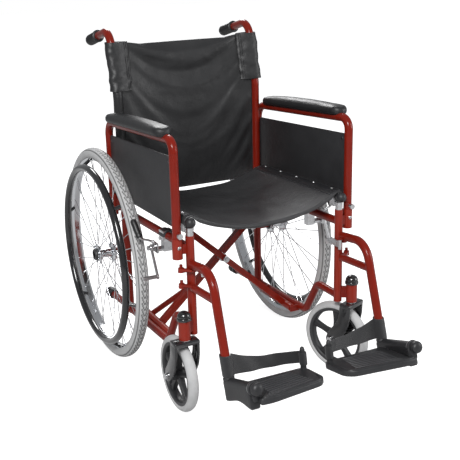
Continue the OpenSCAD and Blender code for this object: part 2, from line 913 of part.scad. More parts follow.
module crossbar_a() {
    crossbar(-(bar_w + bar_gap) / 2, pivot_r);
}

module crossbar_b() {
    mirror([1, 0, 0])
        crossbar((bar_w + bar_gap) / 2, pivot_r + run_gap);
}

module centre_bolt() {
    reach = bar_w + bar_gap / 2;
    color("silver") {
        along_y(cross_y - reach - 8, cross_y + reach + 8, [0, centre_z], pivot_r);
        along_y(cross_y - reach - 6, cross_y - reach, [0, centre_z], 9);
        along_y(cross_y + reach + 0.2, cross_y + reach + 6, [0, centre_z], 9);
        along_y(cross_y - bar_gap / 2, cross_y + bar_gap / 2 - 0.2, [0, centre_z], 12);
    }
}

// ---------- upholstery ----------

// Sheet that hangs between the two seat rails
module seat() {
    sheet_t = 4;
    edge_z = tube_r + 0.9;
    arc_r = (rail_x * rail_x + seat_sag * seat_sag) / (2 * seat_sag);
    half = rail_x + 8;
    ends = [15, rail_l - 6];
    color("dimgray")
        on_seat_rail()
            translate([0, ends[1], 0])
                rotate([90, 0, 0])
                    linear_extrude(ends[1] - ends[0])
                        difference() {
                            intersection() {
                                translate([0, edge_z + arc_r - seat_sag])
                                    circle(r = arc_r, $fn = 180);
                                translate([-half, edge_z - seat_sag - 10])
                                    square([2 * half, seat_sag + 20]);
                            }
                            translate([0, edge_z + arc_r - seat_sag])
                                circle(r = arc_r - sheet_t, $fn = 180);
                        }
}

// Back sheet with sleeves round the upper canes
module back() {
    sheet_t = 5;
    sleeve_r = tube_r + 2.8;
    lean = atan2(cane_top[0] - axle_y, cane_top[1] - cane_bend_z);
    sleeve_l = (back_top_z - cane_bend_z) / cos(lean) - 12;
    color("dimgray") {
        block([-frame_x + tube_r + clear, axle_y - sheet_t / 2, seat_h - 30],
            [frame_x - tube_r - clear, axle_y + sheet_t / 2, cane_bend_z]);
        translate([0, axle_y, cane_bend_z])
            rotate([-lean, 0, 0]) {
                difference() {
                    block([-frame_x, -sheet_t / 2, 0], [frame_x, sheet_t / 2, sleeve_l + 12]);
                    for (side = [-1, 1])
                        translate([side * frame_x, 0, -5])
                            cylinder(h = sleeve_l + 30, r = tube_r + 0.3);
                }
                for (side = [-1, 1])
                    translate([side * frame_x, 0, 12])
                        difference() {
                            cylinder(h = sleeve_l, r = sleeve_r);
                            translate([0, 0, -1])
                                cylinder(h = sleeve_l + 2, r = tube_r + 0.3);
                        }
            }
    }
}

side_frame();  // frame_left
on_right() side_frame();  // frame_right
grip();  // grip_left
on_right() grip();  // grip_right
tip_cap();  // tip_cap_left
on_right() tip_cap();  // tip_cap_right
axle();  // axle_left
on_right() axle();  // axle_right
rail_saddle();  // rail_saddle_left
on_right() rail_saddle();  // rail_saddle_right
caster_cap();  // caster_cap_left
on_right() caster_cap();  // caster_cap_right
brake_clamp();  // brake_clamp_left
on_right() brake_clamp();  // brake_clamp_right
brake_lever();  // brake_lever_left
on_right() brake_lever();  // brake_lever_right
brake_shoe();  // brake_shoe_left
on_right() brake_shoe();  // brake_shoe_right
armrest_frame();  // armrest_frame_left
on_right() armrest_frame();  // armrest_frame_right
arm_pad();  // arm_pad_left
on_right() arm_pad();  // arm_pad_right
side_panel();  // side_panel_left
on_right() side_panel();  // side_panel_right
arm_button();  // arm_button_left
on_right() arm_button();  // arm_button_right
hub();  // hub_left
on_right() hub();  // hub_right
spokes();  // spokes_left
on_right() spokes();  // spokes_right
rim();  // rim_left
on_right() rim();  // rim_right
tyre();  // tyre_left
on_right() tyre();  // tyre_right
handrim();  // handrim_left
on_right() handrim();  // handrim_right
swivelled() caster_fork();  // caster_fork_left
on_right() caster_fork();  // caster_fork_right
swivelled() caster_axle();  // caster_axle_left
on_right() caster_axle();  // caster_axle_right
swivelled() caster_hub();  // caster_hub_left
on_right() caster_hub();  // caster_hub_right
swivelled() caster_tyre();  // caster_tyre_left
on_right() caster_tyre();  // caster_tyre_right
hanger();  // hanger_left
on_right() hanger();  // hanger_right
hanger_latch();  // hanger_latch_left
on_right() hanger_latch();  // hanger_latch_right
footrest_bracket();  // footrest_bracket_left
on_right() footrest_bracket();  // footrest_bracket_right
footplate();  // footplate_left
on_right() footplate();  // footplate_right
heel_loop();  // heel_loop_left
on_right() heel_loop();  // heel_loop_right
crossbar_a();
crossbar_b();
centre_bolt();
seat();
back();
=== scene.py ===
"""Looks for the folding wheelchair: soft goods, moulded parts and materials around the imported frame."""
import json
import math

import bmesh
import bpy
from mathutils import Matrix, Vector, noise


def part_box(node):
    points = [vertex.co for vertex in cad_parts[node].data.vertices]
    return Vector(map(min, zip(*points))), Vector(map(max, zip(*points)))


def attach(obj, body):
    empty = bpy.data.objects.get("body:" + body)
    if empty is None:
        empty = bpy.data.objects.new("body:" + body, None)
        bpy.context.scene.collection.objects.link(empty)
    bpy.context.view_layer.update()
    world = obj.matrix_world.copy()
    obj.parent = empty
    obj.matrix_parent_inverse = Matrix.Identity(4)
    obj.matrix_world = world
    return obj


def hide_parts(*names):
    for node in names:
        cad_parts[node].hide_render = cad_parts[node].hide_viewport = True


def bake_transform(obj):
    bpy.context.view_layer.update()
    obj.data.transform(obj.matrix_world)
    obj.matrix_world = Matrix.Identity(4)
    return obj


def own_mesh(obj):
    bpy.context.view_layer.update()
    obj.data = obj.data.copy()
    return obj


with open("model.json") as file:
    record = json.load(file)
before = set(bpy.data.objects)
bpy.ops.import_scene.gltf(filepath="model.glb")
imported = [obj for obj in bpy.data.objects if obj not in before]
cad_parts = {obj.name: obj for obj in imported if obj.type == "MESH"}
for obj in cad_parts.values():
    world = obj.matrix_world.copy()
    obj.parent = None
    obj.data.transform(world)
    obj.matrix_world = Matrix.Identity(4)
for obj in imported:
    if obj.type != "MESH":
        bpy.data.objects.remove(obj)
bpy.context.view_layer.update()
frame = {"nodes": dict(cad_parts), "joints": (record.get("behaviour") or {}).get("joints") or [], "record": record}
scene = bpy.context.scene
UP = Vector((0, 0, 1))


# ---------- places, from the frame, in metres ----------

def centre(node):
    low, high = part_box(node)
    return (low + high) / 2


def joint(name):
    return next(j for j in frame["joints"] if j["name"] == name)


TUBE_R = 0.011
RAIL_L = 0.441
RAIL_DROP = 0.020          # the seat rails fall this much to the rear
SEAT_TILT = math.atan2(RAIL_DROP, RAIL_L)
SIDES = (("left", 1), ("right", -1))
AXLE = centre("hub_left")
WHEEL_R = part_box("tyre_left")[1].z / 2
CANE = Vector((centre("tip_cap_left").x, AXLE.y, 0))
RAIL_X = CANE.x + 0.001
RAIL_FRONT = Vector((0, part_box("crossbar_b")[0].y + 0.0125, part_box("crossbar_b")[1].z - 0.0125))
STEM = centre("caster_cap_left")


# ---------- materials ----------

def node(tree, kind, **inputs):
    made = tree.nodes.new(kind)
    for name, value in inputs.items():
        made.inputs[name.replace("_", " ")].default_value = value
    return made


def surface(name, colour, rough, metal=0.0, coat=0.0, mottle=(9.0, 0.12), bumps=(), wear=None, sheen=0.0,
            shine=0.5):
    """A Principled material with mottled colour and roughness, stacked bumps and worn edges.

    bumps holds (kind, scale, depth in metres); wear holds (colour, amount)."""
    material = bpy.data.materials.new(name)
    material.use_nodes = True
    tree = material.node_tree
    link = tree.links.new
    shader = tree.nodes["Principled BSDF"]
    place = tree.nodes.new("ShaderNodeTexCoord").outputs["Object"]
    cloud = node(tree, "ShaderNodeTexNoise", Scale=mottle[0], Detail=5.0, Roughness=0.6)
    link(place, cloud.inputs["Vector"])
    shade = node(tree, "ShaderNodeMapRange")
    shade.inputs["From Min"].default_value = 0.25
    shade.inputs["From Max"].default_value = 0.75
    shade.inputs["To Min"].default_value = 1 - mottle[1]
    shade.inputs["To Max"].default_value = 1 + mottle[1]
    link(cloud.outputs["Fac"], shade.inputs["Value"])
    tint = tree.nodes.new("ShaderNodeVectorMath")
    tint.operation = "SCALE"
    tint.inputs[0].default_value = colour
    link(shade.outputs["Result"], tint.inputs["Scale"])
    base = tint.outputs["Vector"]
    if wear:
        edge = node(tree, "ShaderNodeMapRange")
        edge.inputs["From Min"].default_value = 0.53
        edge.inputs["From Max"].default_value = 0.62
        edge.inputs["To Max"].default_value = wear[1]
        link(tree.nodes.new("ShaderNodeNewGeometry").outputs["Pointiness"], edge.inputs["Value"])
        worn = tree.nodes.new("ShaderNodeMix")
        worn.data_type = "RGBA"
        worn.inputs["B"].default_value = (*wear[0], 1)
        link(edge.outputs["Result"], worn.inputs["Factor"])
        link(base, worn.inputs["A"])
        base = worn.outputs["Result"]
    link(base, shader.inputs["Base Color"])
    gloss = node(tree, "ShaderNodeMapRange")
    gloss.inputs["To Min"].default_value = rough * 0.8
    gloss.inputs["To Max"].default_value = min(rough * 1.25, 1)
    link(cloud.outputs["Fac"], gloss.inputs["Value"])
    link(gloss.outputs["Result"], shader.inputs["Roughness"])
    normal = None
    for kind, scale, depth in bumps:
        texture = tree.nodes.new("ShaderNodeTex" + kind)
        texture.inputs["Scale"].default_value = scale
        link(place, texture.inputs["Vector"])
        bump = node(tree, "ShaderNodeBump", Strength=1.0, Distance=depth)
        out = texture.outputs["Distance"] if kind == "Voronoi" else texture.outputs["Fac"]
        link(out, bump.inputs["Height"])
        if normal:
            link(normal, bump.inputs["Normal"])
        normal = bump.outputs["Normal"]
    if normal:
        link(normal, shader.inputs["Normal"])
    shader.inputs["Metallic"].default_value = metal
    shader.inputs["Specular IOR Level"].default_value = shine
    shader.inputs["Coat Weight"].default_value = coat
    shader.inputs["Coat Roughness"].default_value = 0.06
    shader.inputs["Sheen Weight"].default_value = sheen
    return material


def make_materials():
    grain = ("Voronoi", 900.0, 0.00012)
    return {
        "red_paint": surface("red_paint", (0.215, 0.0125, 0.0050), 0.30, coat=0.30, mottle=(25, 0.12),
                             shine=0.12,
                             bumps=(("Noise", 240.0, 0.00004),), wear=((0.42, 0.05, 0.03), 0.35)),
        "black_paint": surface("black_paint", (0.011, 0.011, 0.012), 0.16, coat=0.8, mottle=(30, 0.2),
                               bumps=(("Noise", 200.0, 0.00003),), wear=((0.12, 0.12, 0.13), 0.3)),
        "chrome": surface("chrome", (0.74, 0.75, 0.77), 0.10, metal=1.0, mottle=(40, 0.05),
                          bumps=(("Noise", 160.0, 0.00002),)),
        "zinc": surface("zinc", (0.60, 0.60, 0.61), 0.28, metal=1.0, mottle=(120, 0.14),
                        bumps=(("Noise", 900.0, 0.00003),), wear=((0.85, 0.85, 0.86), 0.5)),
        "black_plastic": surface("black_plastic", (0.022, 0.022, 0.024), 0.42, mottle=(40, 0.2),
                                 bumps=(("Noise", 1300.0, 0.00006),), wear=((0.09, 0.09, 0.095), 0.5)),
        "black_grip": surface("black_grip", (0.017, 0.017, 0.018), 0.38, mottle=(60, 0.2),
                              bumps=(("Noise", 900.0, 0.00006),), wear=((0.06, 0.06, 0.065), 0.4)),
        "black_vinyl": surface("black_vinyl", (0.021, 0.021, 0.022), 0.42, mottle=(11, 0.22),
                               bumps=(grain, ("Noise", 55.0, 0.0009), ("Noise", 260.0, 0.0002))),
        # the same black vinyl as black_vinyl, painted lighter: painted light on the seat, which faces up towards
        # the lamps and the bright world
        "seat_vinyl_painted_light": surface("seat_vinyl_painted_light", (0.046, 0.046, 0.048), 0.42, mottle=(13, 0.24),
                              bumps=(grain, ("Noise", 55.0, 0.0009), ("Noise", 260.0, 0.0002))),
        # darker grey for the faces in the tyre's dimples and groove: painted shade in the recesses
        "tyre_painted_shade": surface("tyre_painted_shade", (0.20, 0.20, 0.20), 0.7, mottle=(60, 0.15),
                             bumps=(("Noise", 500.0, 0.00012),)),
        "panel_black": surface("panel_black", (0.028, 0.028, 0.030), 0.50, mottle=(14, 0.2),
                               bumps=(("Voronoi", 700.0, 0.00010), ("Noise", 30.0, 0.0005))),
        "webbing": surface("webbing", (0.020, 0.020, 0.022), 0.62, mottle=(80, 0.25), sheen=0.25,
                           bumps=(("Wave", 260.0, 0.00035), ("Noise", 700.0, 0.00015))),
        "pad_skin": surface("pad_skin", (0.017, 0.017, 0.018), 0.46, mottle=(16, 0.2),
                            bumps=(("Voronoi", 1100.0, 0.00007), ("Noise", 45.0, 0.0005))),
        "grey_tyre": surface("grey_tyre", (0.56, 0.56, 0.56), 0.55, mottle=(35, 0.10),
                             bumps=(("Noise", 500.0, 0.00012),), wear=((0.66, 0.66, 0.66), 0.5)),
        "thread": surface("thread", (0.012, 0.012, 0.013), 0.6, mottle=(300, 0.3),
                          bumps=(("Wave", 900.0, 0.0002),)),
        "zinc_dark": surface("zinc_dark", (0.16, 0.16, 0.17), 0.35, metal=1.0, mottle=(90, 0.2),
                             bumps=(("Noise", 600.0, 0.00005),)),
    }


MAT = make_materials()


# ---------- mesh helpers ----------

class Shape:
    """Gathers closed shells into one mesh."""

    def __init__(self):
        self.bm = bmesh.new()
        self.index = 0

    def grid(self, rows, wrap_row=False, wrap_column=False, cap=False):
        """Faces between rows of points. cap closes the first and last row with one face each."""
        verts = [[self.bm.verts.new(p) for p in row] for row in rows]
        n, m = len(verts), len(verts[0])
        for i in range(n if wrap_column else n - 1):
            a, b = verts[i], verts[(i + 1) % n]
            for j in range(m if wrap_row else m - 1):
                k = (j + 1) % m
                self.bm.faces.new((a[j], a[k], b[k], b[j])).material_index = self.index
        if cap:
            self.bm.faces.new(verts[0][::-1]).material_index = self.index
            self.bm.faces.new(verts[-1]).material_index = self.index
        return verts

    def revolve(self, origin, axis, profile, steps=64):
        """A closed profile of (radius, along the axis) turned about the axis."""
        axis = Vector(axis).normalized()
        side = axis.orthogonal().normalized()
        other = axis.cross(side)
        rows = []
        for i in range(steps):
            a = 2 * math.pi * i / steps
            out = side * math.cos(a) + other * math.sin(a)
            rows.append([Vector(origin) + axis * h + out * r for r, h in profile])
        self.grid(rows, wrap_row=True, wrap_column=True)

    def solid_turn(self, origin, axis, profile, steps=48):
        """A solid turned shape: the profile starts and ends at a small radius and its ends are capped."""
        axis = Vector(axis).normalized()
        side = axis.orthogonal().normalized()
        other = axis.cross(side)
        rows = []
        for r, h in profile:
            rows.append([Vector(origin) + axis * h + (side * math.cos(a) + other * math.sin(a)) * r
                         for a in (2 * math.pi * i / steps for i in range(steps))])
        self.grid(rows, wrap_row=True, cap=True)

    def sweep(self, points, section, up=UP, scale=None):
        """A section of (sideways, up) offsets carried along the points."""
        rows = []
        for i, p in enumerate(points):
            before, after = points[max(i - 1, 0)], points[min(i + 1, len(points) - 1)]
            along = (after - before).normalized()
            side = along.cross(up).normalized()
            over = side.cross(along)
            k = scale[i] if scale else 1
            rows.append([p + side * u * k + over * v * k for u, v in section])
        self.grid(rows, wrap_row=True, cap=True)

    def rod(self, a, b, r, steps=20):
        a, b = Vector(a), Vector(b)
        along = (b - a)
        self.solid_turn(a, along, [(r * 0.9, 0), (r, r * 0.12), (r, along.length - r * 0.12), (r * 0.9,
                                                along.length)],
                        steps)

    def prism(self, outline, low, high, place, bevel=0.002):
        """A flat shape with rounded edges: an outline in XY from low to high, moved by place."""
        layers = [(bevel, low), (bevel * 0.3, low + bevel * 0.3), (0, low + bevel), (0, high - bevel),
                  (bevel * 0.3, high - bevel * 0.3), (bevel, high)]
        self.grid([[place @ Vector((p.x, p.y, z)) for p in inset(outline, d)] for d, z in layers],
                  wrap_row=True, cap=True)

    def piece(self, name, body, slot, materials=None, mirror=False, turn=None, sharp=0.7):
        """Finishes the mesh as an object that rides on a body."""
        bm = self.bm
        if turn:
            bmesh.ops.transform(bm, matrix=turn, verts=bm.verts)
        if mirror:
            bmesh.ops.scale(bm, vec=(-1, 1, 1), verts=bm.verts)
        bmesh.ops.recalc_face_normals(bm, faces=bm.faces)
        for f in bm.faces:
            f.smooth = True
        for e in bm.edges:
            if len(e.link_faces) == 2 and e.calc_face_angle(0) > sharp:
                e.smooth = False
        mesh = bpy.data.meshes.new(name)
        bm.to_mesh(mesh)
        bm.free()
        made = bpy.data.objects.new(name, mesh)
        scene.collection.objects.link(made)
        for m in materials or [slot]:
            mesh.materials.append(MAT[m])
        if body:
            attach(made, body)
        return made


def circle(r, steps=20, squash=1.0):
    return [(r * math.cos(2 * math.pi * i / steps), r * squash * math.sin(2 * math.pi * i / steps))
            for i in range(steps)]


def rounded(half_w, half_h, r, steps=4):
    """A rounded rectangle outline."""
    out = []
    for k, (sx, sy) in enumerate(((1, 1), (-1, 1), (-1, -1), (1, -1))):
        for i in range(steps + 1):
            a = math.pi / 2 * (k + i / steps)
            out.append((sx * (half_w - r) + r * math.cos(a), sy * (half_h - r) + r * math.sin(a)))
    return out


def smooth_path(points, per=8):
    """A Catmull-Rom curve through the points."""
    points = [Vector(p) for p in points]
    ends = [points[0] * 2 - points[1]] + points + [points[-1] * 2 - points[-2]]
    out = []
    for i in range(1, len(ends) - 2):
        a, b, c, d = ends[i - 1:i + 3]
        for k in range(per):
            t = k / per
            out.append(0.5 * (2 * b + (c - a) * t + (2 * a - 5 * b + 4 * c - d) * t ** 2
                              + (3 * b - a - 3 * c + d) * t ** 3))
    return out + [points[-1]]


def fbm(p, scale, seed=0.0):
    return noise.noise(Vector((p.x * scale + seed, p.y * scale - seed, p.z * scale + seed * 0.5)))


# ---------- cloth ----------

def simulate(made, frames, pressure=0.0, gravity=0.0, pins=None, grow=0.0, cap=0.012, stiffness=15.0):
    """Runs Blender's cloth on a mesh, applies it, and caps how far each point may move."""
    rest = [v.co.copy() for v in made.data.vertices]
    cloth = made.modifiers.new("cloth", "CLOTH")
    settings = cloth.settings
    settings.quality = 6
    settings.tension_stiffness = stiffness
    settings.compression_stiffness = stiffness
    settings.shear_stiffness = 5
    settings.bending_stiffness = 0.4
    settings.shrink_min = -grow
    settings.effector_weights.gravity = gravity
    settings.use_pressure = pressure > 0
    settings.uniform_pressure_force = pressure
    cloth.collision_settings.use_collision = False
    if pins:
        group = made.vertex_groups.new(name="pins")
        group.add(pins, 1.0, "REPLACE")
        settings.vertex_group_mass = "pins"
    cloth.point_cache.frame_start, cloth.point_cache.frame_end = 1, frames
    for f in range(1, frames + 1):
        scene.frame_set(f)
    evaluated = made.evaluated_get(bpy.context.evaluated_depsgraph_get())
    moved = [v.co.copy() for v in evaluated.data.vertices]
    made.modifiers.remove(cloth)
    for v, a, b in zip(made.data.vertices, rest, moved):
        step = b - a
        if step.length > cap:
            step *= cap / step.length
        v.co = a + step
    scene.frame_set(1)


def apply(made):
    """Turns an object's modifiers into mesh."""
    evaluated = made.evaluated_get(bpy.context.evaluated_depsgraph_get())
    mesh = bpy.data.meshes.new_from_object(evaluated)
    made.modifiers.clear()
    made.data = mesh


def thicken(made, thickness, levels=1):
    solid = made.modifiers.new("thick", "SOLIDIFY")
    solid.thickness = thickness
    solid.offset = 0
    fine = made.modifiers.new("fine", "SUBSURF")
    fine.levels = fine.render_levels = levels
    apply(made)
    for f in made.data.polygons:
        f.use_smooth = True


# ---------- soft goods ----------

def on_rail(x, y, z):
    """A point y along the seat rails from their front ends and z square to them."""
    c, s = math.cos(SEAT_TILT), math.sin(SEAT_TILT)
    return Vector((x, RAIL_FRONT.y + y * c + z * s, RAIL_FRONT.z - y * s + z * c))


def make_seat():
    columns, rows = 64, 58
    half = RAIL_X - 0.008
    edge = TUBE_R + 0.0028
    sag = 0.034
    front, rear = 0.010, RAIL_L - 0.004
    wrap = [(RAIL_X + 0.0125 * math.cos(a), -0.0002 + 0.0133 * math.sin(a)) for a in
            (math.radians(d) for d in (-40, -10, 20, 50, 70))]
    over = [(RAIL_X - 0.0005, edge - 0.0012)]
    shape = Shape()
    grid = []
    lip = ((-0.0006, -0.0100), (-0.0022, -0.0078), (-0.0028, -0.0045), (-0.0018, -0.0012))
    for j in range(-len(lip), rows + 1):
        t = max(0, j) / rows
        out, drop = lip[j + len(lip)] if j < 0 else (0, 0)
        y = front + (rear - front) * t + out
        line = [(-x, z) for x, z in wrap + over]
        for i in range(columns + 1):
            u = -1 + 2 * i / columns
            dip = sag * (0.86 + 0.22 * (1 - t)) * (1 - u * u)
            line.append((u * half, edge - dip))
        line += [(x, z) for x, z in reversed(wrap + over)]
        grid.append([on_rail(x, y, z + drop * min(1, 12 * max(0, 1 - abs(x) / half))) for x, z in line])
    shape.grid(grid)
    # the seat takes the lighter copy of the vinyl: painted light on its upward face
    seat = shape.piece("seat_cover", None, "black_vinyl", materials=["seat_vinyl_painted_light"])
    held = [v.index for v in seat.data.vertices if abs(v.co.x) > RAIL_X - 0.016]
    simulate(seat, 24, gravity=0.6, pins=held, grow=0.014, cap=0.011)
    for v in seat.data.vertices:
        inside = max(0.0, 1 - abs(v.co.x) / (RAIL_X - 0.012))
        v.co.z += 0.0022 * min(1, inside * 4) * fbm(v.co, 16, 3.1)
    thicken(seat, 0.0032)
    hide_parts("seat")
    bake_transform(seat)
    for side, s in SIDES:
        screws = Shape()
        for k in range(5):
            y = 0.045 + k * (RAIL_L - 0.08) / 4
            at = on_rail(s * RAIL_X, y, edge + 0.0030)
            screws.solid_turn(at, on_rail(0, 0, 1) - on_rail(0, 0, 0),
                              [(0.0046, -0.002), (0.0048, 0.0004), (0.0040, 0.0018), (0.0020, 0.0026)], 20)
        body = "crossbar_b" if s > 0 else "crossbar_a"
        screws.piece(f"seat_screws_{side}", body, "zinc")
        band = Shape()
        rows_up = []
        for k in range(31):
            y = front + 0.006 + (rear - front - 0.012) * k / 30
            across = []
            for i in range(12):
                x = RAIL_X + 0.0075 - 0.034 * i / 11
                u = min(1, x / half)
                across.append((x, edge - sag * (0.86 + 0.22 * (1 - k / 30)) * (1 - u * u)))
            rows_up.append([on_rail(s * x, y, z + 0.0030) for x, z in across]
                           + [on_rail(s * x, y, z - 0.0010) for x, z in reversed(across)])
        band.grid(rows_up, wrap_row=True, cap=True)
        band.piece(f"seat_band_{side}", body, "black_vinyl", materials=["black_plastic"], sharp=1.2)


def cane_at(z):
    """The cane's centre line at a height."""
    low, top = 0.750, 0.926
    lean = 0.038 / (top - low)
    bend = 0.012
    y = AXLE.y + lean * max(0.0, z - low)
    soft = max(0.0, 1 - abs(z - low) / (2 * bend))
    return Vector((CANE.x, y + 0.25 * lean * bend * soft, z))


BACK_TOP = 0.893
SLEEVE_LOW = 0.763


def make_back():
    low = 0.467
    half = CANE.x - 0.0112
    rows, columns = 66, 60
    shape = Shape()
    grid = []
    for j in range(rows + 1):
        t = j / rows
        z = low + (BACK_TOP - 0.002 - low) * t
        mid = cane_at(z)
        line = []
        for i in range(columns + 1):
            u = -1 + 2 * i / columns
            bow = 0.012 * (1 - u * u) * (0.5 + 0.5 * t)
            line.append(Vector((u * half, mid.y + bow, z)))
        grid.append(line)
    shape.grid(grid)
    back = shape.piece("back_panel", None, "black_vinyl")
    held = [v.index for v in back.data.vertices
            if abs(v.co.x) > half - 0.004 or (v.co.z > SLEEVE_LOW and abs(v.co.x) > CANE.x - 0.045)]
    simulate(back, 24, gravity=0.3, pins=held, grow=0.006, cap=0.008)
    for v in back.data.vertices:
        v.co.y += 0.0016 * fbm(v.co, 13, 7.7) + 0.0009 * fbm(v.co, 34, 1.3)
    thicken(back, 0.0030)
    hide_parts("back")
    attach(back, "left_side")
    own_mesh(back)


def make_sleeve(side, s):
    """The back's sleeve round one cane, drawn in to a seam on its inner side."""
    shape = Shape()
    rows, steps = 40, 40
    seam_x = 0.047
    grid = []
    for j in range(rows + 1):
        t = j / rows
        z = SLEEVE_LOW + (BACK_TOP - SLEEVE_LOW) * t
        mid = cane_at(z)
        line = []
        for i in range(steps):
            a = 2 * math.pi * i / steps
            out = math.cos(a)
            r_out = 0.0185 + 0.0012 * math.sin(t * 9 + 1)
            if out >= 0:
                x = r_out * out
                y = 0.0150 * math.sin(a)
            else:
                x = seam_x * out
                y = 0.0150 * math.sin(a) * (1 - 0.55 * (-out) ** 1.5)
            p = Vector((mid.x + x, mid.y + y, z))
            pucker = 0.0016 * fbm(p, 38, 2.0 + s) + 0.0010 * fbm(p, 90, 5.0)
            p += Vector((out, math.sin(a), 0)) * (pucker + 0.0012 * math.sin(t * 22 + out * 3) * (1 - t))
            line.append(p)
        grid.append(line)
    inner = [[cane_at(SLEEVE_LOW + (BACK_TOP - SLEEVE_LOW) * (j / rows))
              + (p - cane_at(p.z)) * 0.90 for p in line] for j, line in enumerate(grid)]
    outer = shape.grid(grid, wrap_row=True)
    lining = shape.grid(inner, wrap_row=True)
    for a, b in ((outer[0], lining[0]), (lining[-1], outer[-1])):
        for k in range(steps):
            shape.bm.faces.new((a[k], a[(k + 1) % steps], b[(k + 1) % steps], b[k]))
    made = shape.piece(f"back_sleeve_{side}", f"{side}_side", "black_vinyl", mirror=s < 0, sharp=1.2)
    seams = Shape()
    for inset in (0.040, 0.034):
        points = []
        for j in range(41):
            z = SLEEVE_LOW + 0.002 + (BACK_TOP - SLEEVE_LOW - 0.004) * j / 40
            mid = cane_at(z)
            y = 0.0150 * math.sqrt(max(0, 1 - (inset / seam_x) ** 2)) * (1 - 0.55 * (inset / seam_x) ** 1.5)
            points.append(Vector((mid.x - inset, mid.y - y - 0.0004, z)))
        seams.sweep(points, circle(0.0007, 6), up=Vector((1, 0, 0)))
    seams.piece(f"sleeve_seam_{side}", f"{side}_side", "black_vinyl", materials=["thread"], mirror=s < 0)
    return made


def make_pad():
    """Arm pads, blown up from a rounded slab and pulled flat where they rest on the tube."""
    low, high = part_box("arm_pad_left")
    turn = ARM_TURN
    fall = math.atan2(0.033, 0.4742)
    length = (high.y - low.y) - 0.002
    half_w, thick = 0.0245, 0.0290
    start = Vector((0.246 + 0.005 - 0.032 * math.sin(turn), low.y + 0.001, 0))
    shape = Shape()
    rows = []
    n = 44
    for j in range(n + 1):
        y = length * (0.5 - 0.5 * math.cos(math.pi * j / n))
        end = min(y, length - y)
        nose = math.sqrt(max(0.02, 1 - (1 - min(1, end / 0.024)) ** 2))
        crown = 0.86 + 0.14 * math.sin(math.pi * y / length)
        rows.append([Vector((u * nose, y, v * (0.6 + 0.4 * nose) * crown))
                     for u, v in [(x, max(z + thick / 2, 0.0)) for x, z in rounded(half_w, thick / 2, 0.012,
                                                             7)]])
    shape.grid(rows, wrap_row=True, cap=True)
    pad = shape.piece("arm_pad_shape", None, "pad_skin", sharp=3)
    remesh = pad.modifiers.new("remesh", "REMESH")
    remesh.mode = "VOXEL"
    remesh.voxel_size = 0.0045
    apply(pad)
    rest_low = [v.index for v in pad.data.vertices if v.co.z < 0.0012]
    simulate(pad, 18, pressure=4.0, pins=rest_low, cap=0.0035)
    fine = pad.modifiers.new("fine", "SUBSURF")
    fine.levels = fine.render_levels = 1
    apply(pad)
    for v in pad.data.vertices:
        v.co.z += 0.0006 * fbm(v.co, 30, 4.0) * min(1, v.co.z / 0.01)
    for f in pad.data.polygons:
        f.use_smooth = True
    top = 0.710 - 0.032 * math.tan(fall) + TUBE_R - 0.0075
    place = (Matrix.Translation((start.x, start.y, top)) @ Matrix.Rotation(turn, 4, "Z")
             @ Matrix.Rotation(-fall, 4, "X"))
    for side, s in SIDES:
        mesh = pad.data.copy()
        mesh.transform(place)
        if s < 0:
            mesh.transform(Matrix.Scale(-1, 4, (1, 0, 0)))
            mesh.flip_normals()
        made = bpy.data.objects.new(f"arm_pad_skin_{side}", mesh)
        scene.collection.objects.link(made)
        mesh.materials.clear()
        mesh.materials.append(MAT["pad_skin"])
        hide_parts(f"arm_pad_{side}")
        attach(made, f"armrest_{side}")
    bpy.data.objects.remove(pad)


# ---------- wheels ----------

def make_tyre(side, s):
    steps, section = 624, 40
    body_r = 0.0175
    ring_r = WHEEL_R - body_r
    shape = Shape()

    def dimple(i, k):
        row = abs(2 * k - section) // 2
        return row in (1, 2, 3, 4) and (i // 2 + row) % 3 == 0 or row == 8

    rows = []
    for i in range(steps):
        a = 2 * math.pi * i / steps
        out = Vector((0, math.cos(a), math.sin(a)))
        line = []
        for k in range(section + 1):
            b = math.radians(-128 + 256 * k / section)
            flat = body_r * (0.985 if abs(b) < 0.2 else 1)
            r = flat - (0.0012 if dimple(i, k) else 0.0)
            line.append(Vector((AXLE.x + r * math.sin(b), AXLE.y, AXLE.z)) + out * (ring_r + r * math.cos(b)))
        rows.append(line)
    shape.grid(rows, wrap_row=True, wrap_column=True)
    shape.bm.faces.ensure_lookup_table()
    # faces in and beside the dimples and the groove take the darker grey: painted shade in the recesses
    for i in range(steps):
        for k in range(section):
            if dimple(i, k) or dimple(i, k + 1):
                shape.bm.faces[i * (section + 1) + k].material_index = 1
    made = shape.piece(f"rear_tyre_{side}", f"rear_wheel_{side}", "grey_tyre", materials=["grey_tyre",
                                            "tyre_painted_shade"],
                       mirror=s < 0, sharp=1.6)
    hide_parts(f"tyre_{side}")


def make_hub_caps(side, s):
    shape = Shape()
    low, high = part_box(f"hub_{'left'}")
    shape.solid_turn((high.x - 0.001, AXLE.y, AXLE.z), (1, 0, 0),
                     [(0.0165, 0), (0.0165, 0.006), (0.0150, 0.0085), (0.0110, 0.0095), (0.0105, 0.0070)], 40)
    shape.solid_turn((low.x + 0.001, AXLE.y, AXLE.z), (-1, 0, 0),
                     [(0.0158, 0), (0.0158, 0.0030), (0.0130, 0.0040), (0.0090, 0.0040)], 40)
    shape.piece(f"hub_caps_{side}", f"rear_wheel_{side}", "black_plastic", mirror=s < 0)
    rings = Shape()
    for x in (-0.022, 0.022):
        rings.revolve((AXLE.x + x, AXLE.y, AXLE.z), (1, 0, 0),
                      [(0.0262, -0.0024), (0.0282, -0.0016), (0.0282, 0.0016), (0.0262, 0.0024)], 56)
    rings.piece(f"hub_flanges_{side}", f"rear_wheel_{side}", "chrome", mirror=s < 0)


# ---------- outlines and local frames ----------

